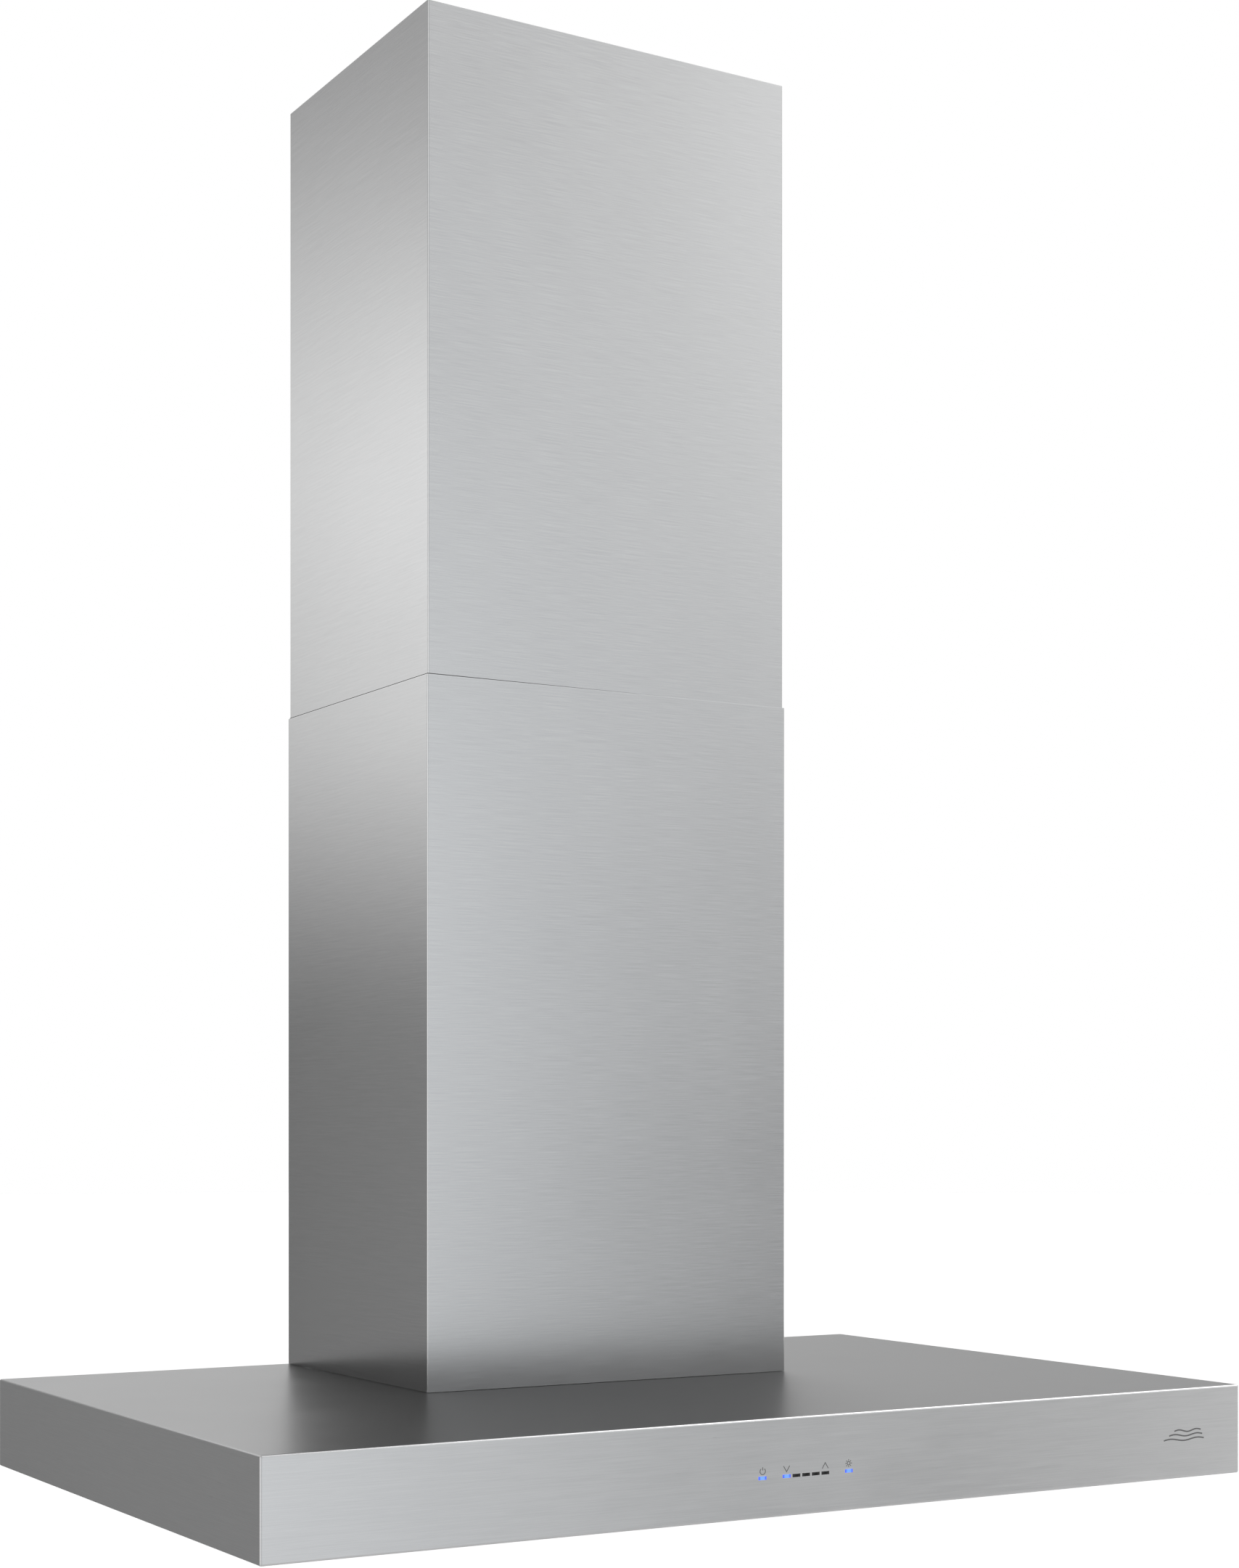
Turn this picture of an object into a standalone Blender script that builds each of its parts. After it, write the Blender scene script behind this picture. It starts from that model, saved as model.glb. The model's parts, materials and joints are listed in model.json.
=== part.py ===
"""Wall-mounted chimney range hood, 760 mm wide, as separate sub-parts.

The frame: +X runs to the right along the canopy, +Y back to the wall and +Z up. The origin is
the centre of the canopy's bottom rim. Sizes below are in millimetres, and every mesh is made
in metres. Touching pieces keep a gap of GAP.
"""

import itertools
import math

import bmesh
import bpy
from mathutils import Matrix, Vector

MM = 0.001
GAP = 0.3

# Canopy
CANOPY_W, CANOPY_D, CANOPY_H = 760.0, 500.0, 64.0
SHEET = 1.0
BEND = 1.3
RIM = 14.0  # width of the folded-in bottom flange
FRONT, BACK, SIDE = -CANOPY_D / 2, CANOPY_D / 2, CANOPY_W / 2

# Underside panel, set up inside the rim
PANEL_Z = 12.0
PANEL_TOP = PANEL_Z + SHEET
INTAKE_SIDE, INTAKE_FRONT, INTAKE_BACK = 326.0, -150.0, 200.0

# Baffle filters
FILTER_W, FILTER_FRONT, FILTER_BACK = 322.0, -148.0, 197.5
FILTER_X = FILTER_W / 2 + 2
FILTER_SHEET = 0.8
FILTER_Z, FILTER_H = 12.2, 12.5
FILTER_LIP, FILTER_FRONT_LIP = 10.0, 30.0
BAFFLE_PITCH, BAFFLE_W, BAFFLE_LIP = 38.0, 25.0, 6.2
LOWER_BAFFLES = 8
TAB_X, TAB_HALF, TAB_REACH = 100.0, 15.0, 14.0
FILTER_HINGE_Y, FILTER_HINGE_Z = 199.0, 13.4

# Lamps
LAMP_X, LAMP_Y, LAMP_R = 235.0, -195.0, 31.0

# Touch controls on the front
WINDOW_W, WINDOW_H, WINDOW_Z = 6.2, 2.2, 25.9
WINDOW_PITCH, WINDOW_SIDE = 7.6, 34.0
WINDOW_XS = (-WINDOW_SIDE, *(WINDOW_PITCH * i for i in range(-2, 3)), WINDOW_SIDE)

# Duct covers: the upper one slides inside the lower one
COVER_SHEET = 0.8
LOWER_HALF, LOWER_FRONT, LOWER_BACK = 151.2, 0.0, 248.0
LOWER_BOTTOM, LOWER_TOP = CANOPY_H + GAP, 570.0
INSET = COVER_SHEET + GAP
UPPER_BOTTOM, UPPER_TOP = 510.0, 1044.7
COVER_LIP = 14.0

# Blower box
BOX_HALF, BOX_FRONT, BOX_BACK, BOX_TOP = 136.0, 8.0, 241.0, 364.0
BOX_FOOT = 10.0
SCREW_SPOTS = [(x, y) for x in (-141.0, 141.0) for y in (30.0, 215.0)]
SCREW_HOLE = 2.2  # half the side of a screw's square hole
HOOK_FROM, HOOK_TO, HOOK_TIP = 60.0, 100.0, 247.2
CLIP_Y, CLIP_Z = 125.0, 96.0  # the screw that holds a cover clip
CLIP_HALF = 20.0

# Blower
FAN_Y, FAN_Z = 124.0, 188.0
SCROLL_R0, SCROLL_R1, SCROLL_HALF, SCROLL_TOP = 90.0, 112.0, 69.0, 360.0
TONGUE_DEG, SCROLL_THROAT = 100.0, 132.0
IMPELLER_R, BLADE_ROOT, IMPELLER_HALF, BLADES = 84.0, 68.0, 64.0, 20
INLET_R = 70.0
SHAFT_R, SHAFT_BORE = 4.0, 4.3
MOTOR_R, MOTOR_FROM, MOTOR_TO = 42.0, 10.0, 98.0
MOTOR_ARMS, ARM_HALF = 3, 8.0
CAPACITOR_Y, CAPACITOR_Z = 45.0, 310.0

# Outlet collar and damper
COLLAR_R, COLLAR_TOP = 74.5, 424.0
PIN_Z, PIN_R = 398.0, 1.5
FLAP_R, FLAP_SHEET = 72.0, 0.8
CURL_IN, CURL_OUT = 1.9, 2.7
CURL_HALF = 9.0

# Wall parts
WALL_FACE = 249.7
BRACKET_LOW, BRACKET_HIGH, BRACKET_SHEET = 985.0, 1030.0, 1.9
BRACKET_SCREW_X, BRACKET_SLOT_X = 141.0, 80.0
RAIL_LOW, RAIL_SHELF, RAIL_HIGH, RAIL_SHEET = 280.0, 310.0, 325.7, 1.5
RAIL_LIP = 243.2
WALL_PART_HALF, SLOT_HALF = 122.0, 4.0

# Wiring: the mains box stands on the blower box, over a hole for its leads
MAINS_X, MAINS_Y, MAINS_H = (92.0, 134.0), (172.0, 236.0), 38.0
LEAD_HOLE_X, LEAD_HOLE_Y = (108.0, 120.0), (186.0, 198.0)
GLAND_X, GLAND_Y = 113.0, 208.0

STEEL = (0.62, 0.62, 0.61)
ZINC = (0.55, 0.57, 0.58)


# --- Tools -------------------------------------------------------------------------------------


def finish(name, bm, colour, roughness=0.35, metallic=1.0, smooth=True):
    """An object in metres from a bmesh in millimetres, with its own material."""
    bmesh.ops.recalc_face_normals(bm, faces=bm.faces)
    bmesh.ops.scale(bm, vec=(MM, MM, MM), verts=bm.verts)
    mesh = bpy.data.meshes.new(name)
    bm.to_mesh(mesh)
    bm.free()
    if smooth:
        mesh.shade_smooth()
        mesh.set_sharp_from_angle(angle=math.radians(35))
    obj = bpy.data.objects.new(name, mesh)
    bpy.context.scene.collection.objects.link(obj)
    paint(obj, colour, roughness, metallic)
    return obj


def paint(obj, colour, roughness, metallic):
    material = bpy.data.materials.new(obj.name)
    material.use_nodes = True
    shader = material.node_tree.nodes["Principled BSDF"]
    shader.inputs["Base Color"].default_value = (*colour, 1.0)
    shader.inputs["Roughness"].default_value = roughness
    shader.inputs["Metallic"].default_value = metallic
    obj.data.materials.append(material)


def inside(box, point):
    return all(lo < v < hi for v, (lo, hi) in zip(point, box))


def skin(full, place, same=lambda index: index):
    """The closed skin of a set of cells in a grid: every side of a full cell that faces an empty
    one. place(index) is where a corner is. Where the grid closes on itself, same(index) gives
    each cell and corner its one index."""
    bm = bmesh.new()
    corners = {}
    for cell in sorted(full):
        for axis, side in itertools.product(range(3), (0, 1)):
            beyond = list(cell)
            beyond[axis] += 2 * side - 1
            if same(tuple(beyond)) in full:
                continue
            ring = []
            for du, dv in ((0, 0), (1, 0), (1, 1), (0, 1)):
                index = list(cell)
                index[axis] += side
                index[(axis + 1) % 3] += du
                index[(axis + 2) % 3] += dv
                index = same(tuple(index))
                if index not in corners:
                    corners[index] = bm.verts.new(place(index))
                ring.append(corners[index])
            bm.faces.new(ring if side else ring[::-1])
    return bm


def square(middle, half=SCREW_HOLE):
    """A span about a middle, as wide as a screw's hole unless half says otherwise."""
    return (middle - half, middle + half)


def mirrored(near, far, way):
    """The span between two distances from the middle, on the right for way 1 and left for -1."""
    return (near, far) if way > 0 else (-far, -near)


def plates_bmesh(added, cut=()):
    """One closed skin round the union of the added boxes less the cut ones. A box is
    ((x0, x1), (y0, y1), (z0, z1)), and space is split at every box's faces into cells."""
    stops = [sorted({v for box in (*added, *cut) for v in box[a]}) for a in range(3)]
    mids = [[(p + q) / 2 for p, q in zip(s, s[1:])] for s in stops]
    full = set()
    for cell in itertools.product(*(range(len(m)) for m in mids)):
        centre = [mids[a][cell[a]] for a in range(3)]
        is_added = any(inside(b, centre) for b in added)
        if is_added and not any(inside(b, centre) for b in cut):
            full.add(cell)
    bm = skin(full, lambda corner: [stops[a][corner[a]] for a in range(3)])
    bmesh.ops.dissolve_limit(
        bm, angle_limit=math.radians(1), verts=bm.verts, edges=bm.edges
    )
    return bm


def plates(name, added, cut=(), colour=STEEL, roughness=0.35, metallic=1.0):
    return finish(name, plates_bmesh(added, cut), colour, roughness, metallic, smooth=False)


def folded_sheet(name, box, folded, radius, cuts):
    """A box whose edges are bent round where folded(point) holds at both of an edge's ends,
    hollowed out by cutting boxes from it."""
    bm = plates_bmesh([box])
    edges = [e for e in bm.edges if all(folded(v.co) for v in e.verts) and bent(e, folded)]
    bmesh.ops.bevel(bm, geom=edges, offset=radius, segments=3, affect="EDGES", profile=0.5)
    sheet = finish(name, bm, STEEL, 0.3)
    boolean(sheet, plates(f"{name}_space", cuts), "DIFFERENCE")
    return sheet


def bent(edge, folded):
    return folded((edge.verts[0].co + edge.verts[1].co) / 2)


def turned(name, profile, centre, axis, colour, roughness=0.35, metallic=1.0, sides=24):
    """A solid of revolution. profile is (radius, height) pairs: a closed loop, or a run from
    axis to axis where its first and last radius are 0."""
    bm = bmesh.new()
    turn = Vector((0, 0, 1)).rotation_difference(Vector(axis)).to_matrix()
    rings = []
    for radius, height in profile:
        count = sides if radius > 0 else 1
        ring = []
        for i in range(count):
            angle = 2 * math.pi * i / sides
            point = Vector((radius * math.cos(angle), radius * math.sin(angle), height))
            ring.append(bm.verts.new(turn @ point + Vector(centre)))
        rings.append(ring)
    pairs = list(zip(rings, rings[1:]))
    if profile[0][0] > 0:
        pairs.append((rings[-1], rings[0]))
    for low, high in pairs:
        for i in range(sides):
            j = (i + 1) % sides
            loop = [low[i % len(low)], low[j % len(low)], high[j % len(high)], high[i % len(high)]]
            bm.faces.new(list(dict.fromkeys(loop)))
    return finish(name, bm, colour, roughness, metallic)


def prism(name, outline, axis, low, high, colour=STEEL, roughness=0.35, metallic=1.0):
    """An outline pushed along X, Y or Z. Its points are the other two coordinates, in order."""
    bm = bmesh.new()

    def point(pair, along):
        values = list(pair)
        values.insert("XYZ".index(axis), along)
        return bm.verts.new(values)

    near = [point(p, low) for p in outline]
    far = [point(p, high) for p in outline]
    bm.faces.new(near)
    bm.faces.new(far[::-1])
    for i in range(len(outline)):
        j = (i + 1) % len(outline)
        bm.faces.new([near[i], near[j], far[j], far[i]])
    return finish(name, bm, colour, roughness, metallic)


def arc(centre, radius, start, end, steps):
    """Points along an arc, in degrees, both ends included."""
    angles = [math.radians(start + (end - start) * i / steps) for i in range(steps + 1)]
    return [(centre[0] + radius * math.cos(a), centre[1] + radius * math.sin(a)) for a in angles]


def boolean(obj, tool, operation):
    modifier = obj.modifiers.new(operation.title(), "BOOLEAN")
    modifier.operation = operation
    modifier.object = tool
    tool.hide_render = True
    tool.display_type = "WIRE"


def rod(name, start, end, radius, sides=16):
    """A plain cylinder between two points, used as a tool."""
    start, end = Vector(start), Vector(end)
    length = (end - start).length
    profile = [(0, 0), (radius, 0), (radius, length), (0, length)]
    return turned(name, profile, start, end - start, STEEL, sides=sides)


def lead(name, points, radius, colour):
    """An insulated wire along a smooth curve through the points."""
    curve = bpy.data.curves.new(name, "CURVE")
    curve.dimensions = "3D"
    curve.bevel_depth = radius * MM
    curve.bevel_resolution = 1
    curve.use_fill_caps = True
    route = smooth_route([Vector(p) * MM for p in points], 4)
    spline = curve.splines.new("POLY")
    spline.points.add(len(route) - 1)
    for slot, point in zip(spline.points, route):
        slot.co = (*point, 1.0)
    obj = bpy.data.objects.new(name, curve)
    bpy.context.scene.collection.objects.link(obj)
    paint(obj, colour, 0.5, 0.0)
    return obj


def smooth_route(points, steps):
    """A Catmull-Rom curve through the points."""
    padded = [2 * points[0] - points[1], *points, 2 * points[-1] - points[-2]]
    route = []
    for a, b, c, d in zip(padded, padded[1:], padded[2:], padded[3:]):
        for i in range(steps):
            t = i / steps
            route.append(
                0.5 * (2 * b + (c - a) * t + (2 * a - 5 * b + 4 * c - d) * t**2
                       + (3 * b - a - 3 * c + d) * t**3)
            )
    return [*route, points[-1]]


def screw(name, head_at, axis, length, head_r=3.2, shank_r=1.8):
    """A pan-head screw. head_at is the middle of the head's seat, and axis points from the tip
    to the head."""
    profile = [
        (0, -length), (shank_r * 0.6, -length), (shank_r, -length + 1.5), (shank_r, 0),
        (head_r, 0), (head_r, 1.0), (head_r * 0.7, 2.0), (0, 2.3),
    ]
    return turned(name, profile, head_at, axis, (0.7, 0.7, 0.68), 0.3, sides=8)


def pivot(name, point, *objects):
    """An empty on a joint's axis that carries the pieces that move about it."""
    empty = bpy.data.objects.new(name, None)
    empty.empty_display_size = 0.02
    empty.location = Vector(point) * MM
    bpy.context.scene.collection.objects.link(empty)
    for obj in objects:
        obj.parent = empty
        obj.matrix_parent_inverse = Matrix.Translation(-empty.location)
    return empty


# --- Canopy ------------------------------------------------------------------------------------


def make_canopy_shell():
    """Top, front and sides folded from one sheet, with a flange turned in along the bottom."""
    outer = ((-SIDE, SIDE), (FRONT, BACK), (0, CANOPY_H))
    hollow = ((SHEET - SIDE, SIDE - SHEET), (FRONT + SHEET, BACK + 1), (SHEET, CANOPY_H - SHEET))
    mouth = ((RIM - SIDE, SIDE - RIM), (FRONT + RIM, BACK + 1), (-1, SHEET + 1))
    blower_hole = ((4 - BOX_HALF, BOX_HALF - 4), (BOX_FRONT + 4, BOX_BACK - 5), (50, CANOPY_H + 1))
    cuts = [hollow, mouth, blower_hole]
    for x in WINDOW_XS:
        through = (FRONT - 1, FRONT + SHEET + 1)
        cuts.append((square(x, WINDOW_W / 2), through, square(WINDOW_Z, WINDOW_H / 2)))
    for x, y in SCREW_SPOTS:
        cuts.append((square(x), square(y), (CANOPY_H - SHEET - 1, CANOPY_H + 1)))

    def folded(p):
        on_side, on_front = abs(abs(p.x) - SIDE) < 0.01, abs(p.y - FRONT) < 0.01
        on_top, on_bottom = abs(p.z - CANOPY_H) < 0.01, abs(p.z) < 0.01
        return on_side + on_front + on_top + on_bottom >= 2

    return folded_sheet("canopy_shell", outer, folded, BEND, cuts)


def keyhole(name, x, z, y_from, y_to):
    """A round hole with a narrower slot above it."""
    outline = [*arc((x, z), 6.0, 120, 420, 14), *arc((x, z + 14), 3.2, 0, 180, 6)]
    return prism(name, outline, "Y", y_from, y_to)


def make_rear_panel():
    edge, shelf_edge = SIDE - SHEET - GAP, SIDE - RIM - GAP
    top = CANOPY_H - SHEET - GAP
    wall = ((-edge, edge), (BACK - SHEET, BACK), (SHEET + GAP, top))
    foot = ((-shelf_edge, shelf_edge), (BACK - SHEET, BACK), (0, SHEET + GAP))
    shelf = ((-shelf_edge, shelf_edge), (BACK - RIM, BACK), (0, SHEET))
    tuck = ((-edge, edge), (BACK - 8, BACK), (top - SHEET, top))
    panel = plates("rear_panel", [wall, foot, shelf, tuck], colour=ZINC, roughness=0.4)
    for i, x in enumerate((-250, 250)):
        boolean(panel, keyhole(f"keyhole_{i}", x, 30, BACK - 5, BACK + 5), "DIFFERENCE")
    return panel


def make_underside_panel():
    edge, front, back = SIDE - RIM + SHEET, FRONT + RIM - SHEET, BACK - RIM + SHEET - 1
    low = SHEET + GAP
    tray = ((-edge, edge), (front, back), (low, PANEL_TOP))
    recess = ((SHEET - edge, edge - SHEET), (front + SHEET, back - SHEET), (low - 1, PANEL_Z))
    intake = ((-INTAKE_SIDE, INTAKE_SIDE), (INTAKE_FRONT, INTAKE_BACK), (0, 20))
    cuts = [recess, intake]
    for x in (-FILTER_X, FILTER_X):
        cuts.append((square(x, 10), (INTAKE_FRONT - 7, INTAKE_FRONT + 1), (0, 20)))
    panel = plates("underside_panel", [tray], cuts)
    for i, x in enumerate((-LAMP_X, LAMP_X)):
        hole = rod(f"lamp_hole_{i}", (x, LAMP_Y, 5), (x, LAMP_Y, 20), LAMP_R + 0.6, 24)
        boolean(panel, hole, "DIFFERENCE")
    return panel


def make_light_guide():
    """A clear strip behind the front, with a bar in each of its seven windows."""
    inner = FRONT + SHEET + GAP
    reach = WINDOW_SIDE + 6
    boxes = [((-reach, reach), (inner, inner + 2), (WINDOW_Z - 3, WINDOW_Z + 3))]
    half_w, half_h = WINDOW_W / 2 - 0.25, WINDOW_H / 2 - 0.25
    for x in WINDOW_XS:
        boxes.append((square(x, half_w), (FRONT, inner), square(WINDOW_Z, half_h)))
    return plates("light_guide", boxes, colour=(0.8, 0.85, 0.95), roughness=0.1, metallic=0)


def make_control_unit():
    inner = FRONT + SHEET + GAP
    board = ((-58, 58), (inner + 2.6, inner + 4.2), (17, 50))
    plates("control_board", [board], colour=(0.02, 0.18, 0.07), roughness=0.5, metallic=0)
    shell = ((-64, 64), (inner, inner + 11), (PANEL_TOP + 1, 55))
    space = ((-62.5, 62.5), (inner - 1, inner + 9.5), (PANEL_TOP + 2.5, 53.5))
    entry = ((40, 50), (inner + 9, inner + 12), (35, 42))
    plates("control_cover", [shell], [space, entry], (0.03, 0.03, 0.03), 0.5, 0)


def make_power_module():
    body = ((80, 180), (-232, -162), (30, CANOPY_H - SHEET - GAP))
    label_step = ((84, 176), (-228, -166), (28.5, 30))
    plates("power_module", [body, label_step], colour=(0.04, 0.04, 0.045), roughness=0.5, metallic=0)


def make_lamp(side, x):
    centre = (x, LAMP_Y, 0)
    up = (0, 0, 1)
    low = PANEL_Z - GAP
    ring = [
        (LAMP_R - 2, low - 1.2), (LAMP_R + 3, low - 1.2), (LAMP_R + 4, low - 0.5), (LAMP_R + 4, low),
        (LAMP_R, low), (LAMP_R, low + 10), (LAMP_R - 1, low + 10), (LAMP_R - 1, low),
        (LAMP_R - 2.2, low),
    ]
    turned(f"lamp_ring_{side}", ring, centre, up, (0.75, 0.75, 0.76), 0.15)
    lens = [
        (0, low + 0.3), (LAMP_R - 8, low + 0.35), (LAMP_R - 1.3, low + 0.9),
        (LAMP_R - 1.3, low + 2.6), (0, low + 2.6),
    ]
    turned(f"lamp_lens_{side}", lens, centre, up, (0.92, 0.93, 0.9), 0.35, 0)
    base = low + 2.9
    cup = [
        (0, base + 19), (LAMP_R - 8, base + 19), (LAMP_R - 1.3, base + 14), (LAMP_R - 1.3, base),
        (LAMP_R - 3.3, base), (LAMP_R - 3.3, base + 12), (LAMP_R - 9, base + 16.5), (0, base + 16.5),
    ]
    turned(f"lamp_housing_{side}", cup, centre, up, (0.6, 0.61, 0.62), 0.45)


# --- Filters -----------------------------------------------------------------------------------


def make_filter(side, x):
    """A baffle filter: a channel frame round two rows of interlocking channels, with a sprung
    latch at the front. x is the middle of the filter."""
    left, right = x - FILTER_W / 2, x + FILTER_W / 2
    low, high, t = FILTER_Z, FILTER_Z + FILTER_H, FILTER_SHEET
    outer = ((left, right), (FILTER_FRONT, FILTER_BACK), (low, high))
    channel = ((left + t, right - t), (FILTER_FRONT + t, FILTER_BACK - t), (low + t, high - t))
    middle = (
        (left + FILTER_LIP, right - FILTER_LIP),
        (FILTER_FRONT + FILTER_FRONT_LIP, FILTER_BACK - FILTER_LIP),
        (low - 1, high + 1),
    )
    nose_slot = (square(x, 8.8), (FILTER_FRONT - 1, FILTER_FRONT + 2), (low + 1.2, low + 4.8))
    stem_slot = (square(x, 3.8), (-142.0, -127.0), (low - 1, low + 2))
    tab_y, tab_z = (FILTER_BACK - t, FILTER_BACK + TAB_REACH), (FILTER_HINGE_Z, FILTER_HINGE_Z + 1.2)
    tabs = [(square(x + way * TAB_X, TAB_HALF), tab_y, tab_z) for way in (-1, 1)]
    cuts = [channel, middle, nose_slot, stem_slot]
    frame = plates(f"filter_frame_{side}", [outer, *tabs], cuts)
    first = x - (LOWER_BAFFLES - 1) / 2 * BAFFLE_PITCH
    centres = [first + i * BAFFLE_PITCH for i in range(LOWER_BAFFLES)]
    between = [c + BAFFLE_PITCH / 2 for c in centres[:-1]]
    span = (left + 3, right - 3)
    ends = (FILTER_FRONT + FILTER_FRONT_LIP, FILTER_BACK - FILTER_LIP)
    lower = baffle_row(f"baffles_lower_{side}", centres, span, ends, low + t + GAP, t, 1)
    upper = baffle_row(f"baffles_upper_{side}", between, span, ends, high - t - GAP, -t, -1)
    latch = make_latch(side, x)
    slide = pivot(f"latch_slide_{side}", (x, FILTER_FRONT, FILTER_Z), latch)
    hinge_at = (x, FILTER_HINGE_Y, FILTER_HINGE_Z)
    pivot(f"filter_hinge_{side}", hinge_at, frame, lower, upper, slide)


def baffle_row(name, centres, span, ends, base, sheet, way):
    """Parallel channels joined by a strip along each end, which sits inside the frame. way is 1
    where the channels open upwards and -1 where they open downwards."""
    front, back = ends
    web = tuple(sorted((base, base + sheet)))
    lips = tuple(sorted((base, base + way * BAFFLE_LIP)))
    boxes = [(span, (front - 6, front + 3), web), (span, (back - 3, back + 6), web)]
    t = abs(sheet)
    for c in centres:
        boxes.append((square(c, BAFFLE_W / 2), (front, back), web))
        for edge in (c - BAFFLE_W / 2, c + BAFFLE_W / 2 - t):
            boxes.append(((edge, edge + t), (front + 4, back - 4), lips))
    return plates(name, boxes, roughness=0.3)


def make_latch(side, x):
    """A spring bolt: its nose stands in the panel's notch, and the finger tab pulls it back."""
    z = FILTER_Z + 2.0
    boxes = [
        (square(x, 20), (-146.5, -134.5), (z, z + 2)),
        (square(x, 8), (FILTER_FRONT - 6.5, -146), (z, z + 2)),
        (square(x, 3), (-141.0, -136.0), (FILTER_Z - 4, z + 1)),
        (square(x, 14), (-142.5, -136.0), (FILTER_Z - 8.0, FILTER_Z - GAP)),
    ]
    return plates(f"filter_latch_{side}", boxes, colour=(0.7, 0.7, 0.7), roughness=0.25)


# --- Duct covers and wall parts -----------------------------------------------------------------


def folded_cover(name, half, front, back, bottom, top, more_cuts=()):
    """The front, sides and rear lips of a duct cover, folded from one sheet."""
    t = COVER_SHEET
    outer = ((-half, half), (front, back), (bottom, top))
    space = ((t - half, half - t), (front + t, back - t), (bottom - 1, top + 1))
    rear = ((COVER_LIP - half, half - COVER_LIP), (back - 2, back + 1), (bottom - 1, top + 1))

    def folded(p):
        return abs(abs(p.x) - half) < 0.01 and min(abs(p.y - front), abs(p.y - back)) < 0.01

    return folded_sheet(name, outer, folded, 1.0, [space, rear, *more_cuts])


def make_duct_covers():
    folded_cover("lower_duct_cover", LOWER_HALF, LOWER_FRONT, LOWER_BACK, LOWER_BOTTOM, LOWER_TOP)
    half, front, back = LOWER_HALF - INSET, LOWER_FRONT + INSET, LOWER_BACK - INSET
    middle = (BRACKET_LOW + BRACKET_HIGH) / 2
    screw_xs, slot_xs = (-BRACKET_SCREW_X, BRACKET_SCREW_X), (-BRACKET_SLOT_X, BRACKET_SLOT_X)
    holes = [(square(x), (back - 2, back + 1), square(middle)) for x in screw_xs]
    upper = folded_cover("upper_duct_cover", half, front, back, UPPER_BOTTOM, UPPER_TOP, holes)
    bracket_holes = [(square(x), (240, 247), square(middle)) for x in screw_xs]
    bracket_holes += [
        (square(x, SLOT_HALF), (246, 251), square(middle, SLOT_HALF)) for x in slot_xs
    ]
    ends_back = back - COVER_SHEET - GAP
    ends = (ends_back - BRACKET_SHEET, ends_back)
    z = (BRACKET_LOW, BRACKET_HIGH)
    edge = WALL_PART_HALF
    boxes = [((-edge, edge), (WALL_FACE - BRACKET_SHEET, WALL_FACE), z)]
    for way in (-1, 1):
        boxes.append((mirrored(edge - 4, edge, way), (ends[0], WALL_FACE), z))
        boxes.append((mirrored(edge - 4, 147.5, way), ends, z))
    bracket = plates("upper_wall_bracket", boxes, bracket_holes, ZINC, 0.4)
    bolts = [
        screw(f"bracket_screw_{side}", (x, ends[0] - GAP, middle), (0, -1, 0), 5.5)
        for side, x in zip(("left", "right"), screw_xs)
    ]
    pivot("upper_cover_slide", (0, (front + back) / 2, UPPER_BOTTOM), upper, bracket, *bolts)


def make_hanging_rail():
    """A strip on the wall with an upturned lip, which the blower box's hooks drop over."""
    x, t = (-WALL_PART_HALF, WALL_PART_HALF), RAIL_SHEET
    boxes = [
        (x, (WALL_FACE - t, WALL_FACE), (RAIL_LOW, RAIL_HIGH)),
        (x, (RAIL_LIP, WALL_FACE), (RAIL_SHELF, RAIL_SHELF + t)),
        (x, (RAIL_LIP, RAIL_LIP + t), (RAIL_SHELF, RAIL_HIGH)),
    ]
    slot_z = square(RAIL_LOW + 14, SLOT_HALF)
    cuts = [(square(x, SLOT_HALF), (247, 251), slot_z) for x in (-90, 0, 90)]
    plates("hanging_rail", boxes, cuts, ZINC, 0.4)


def make_cover_clips():
    """Brackets on the blower box's sides that steady the lower cover."""
    reach = LOWER_HALF - COVER_SHEET - GAP
    near, t = BOX_HALF + GAP, 1.5
    y = square(CLIP_Y, CLIP_HALF)
    for side, way in (("left", -1), ("right", 1)):
        boxes = [
            (mirrored(near, near + t, way), y, (84, 106)),
            (mirrored(near, reach, way), y, (84, 84 + t)),
            (mirrored(reach - t, reach, way), y, (68, 84 + t)),
        ]
        hole = (mirrored(BOX_HALF, BOX_HALF + 4, way), square(CLIP_Y), square(CLIP_Z))
        plates(f"cover_clip_{side}", boxes, [hole], ZINC, 0.4)
        screw(f"clip_screw_{side}", (way * (near + t + GAP), CLIP_Y, CLIP_Z), (way, 0, 0), 7)


# --- Blower -------------------------------------------------------------------------------------


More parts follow.
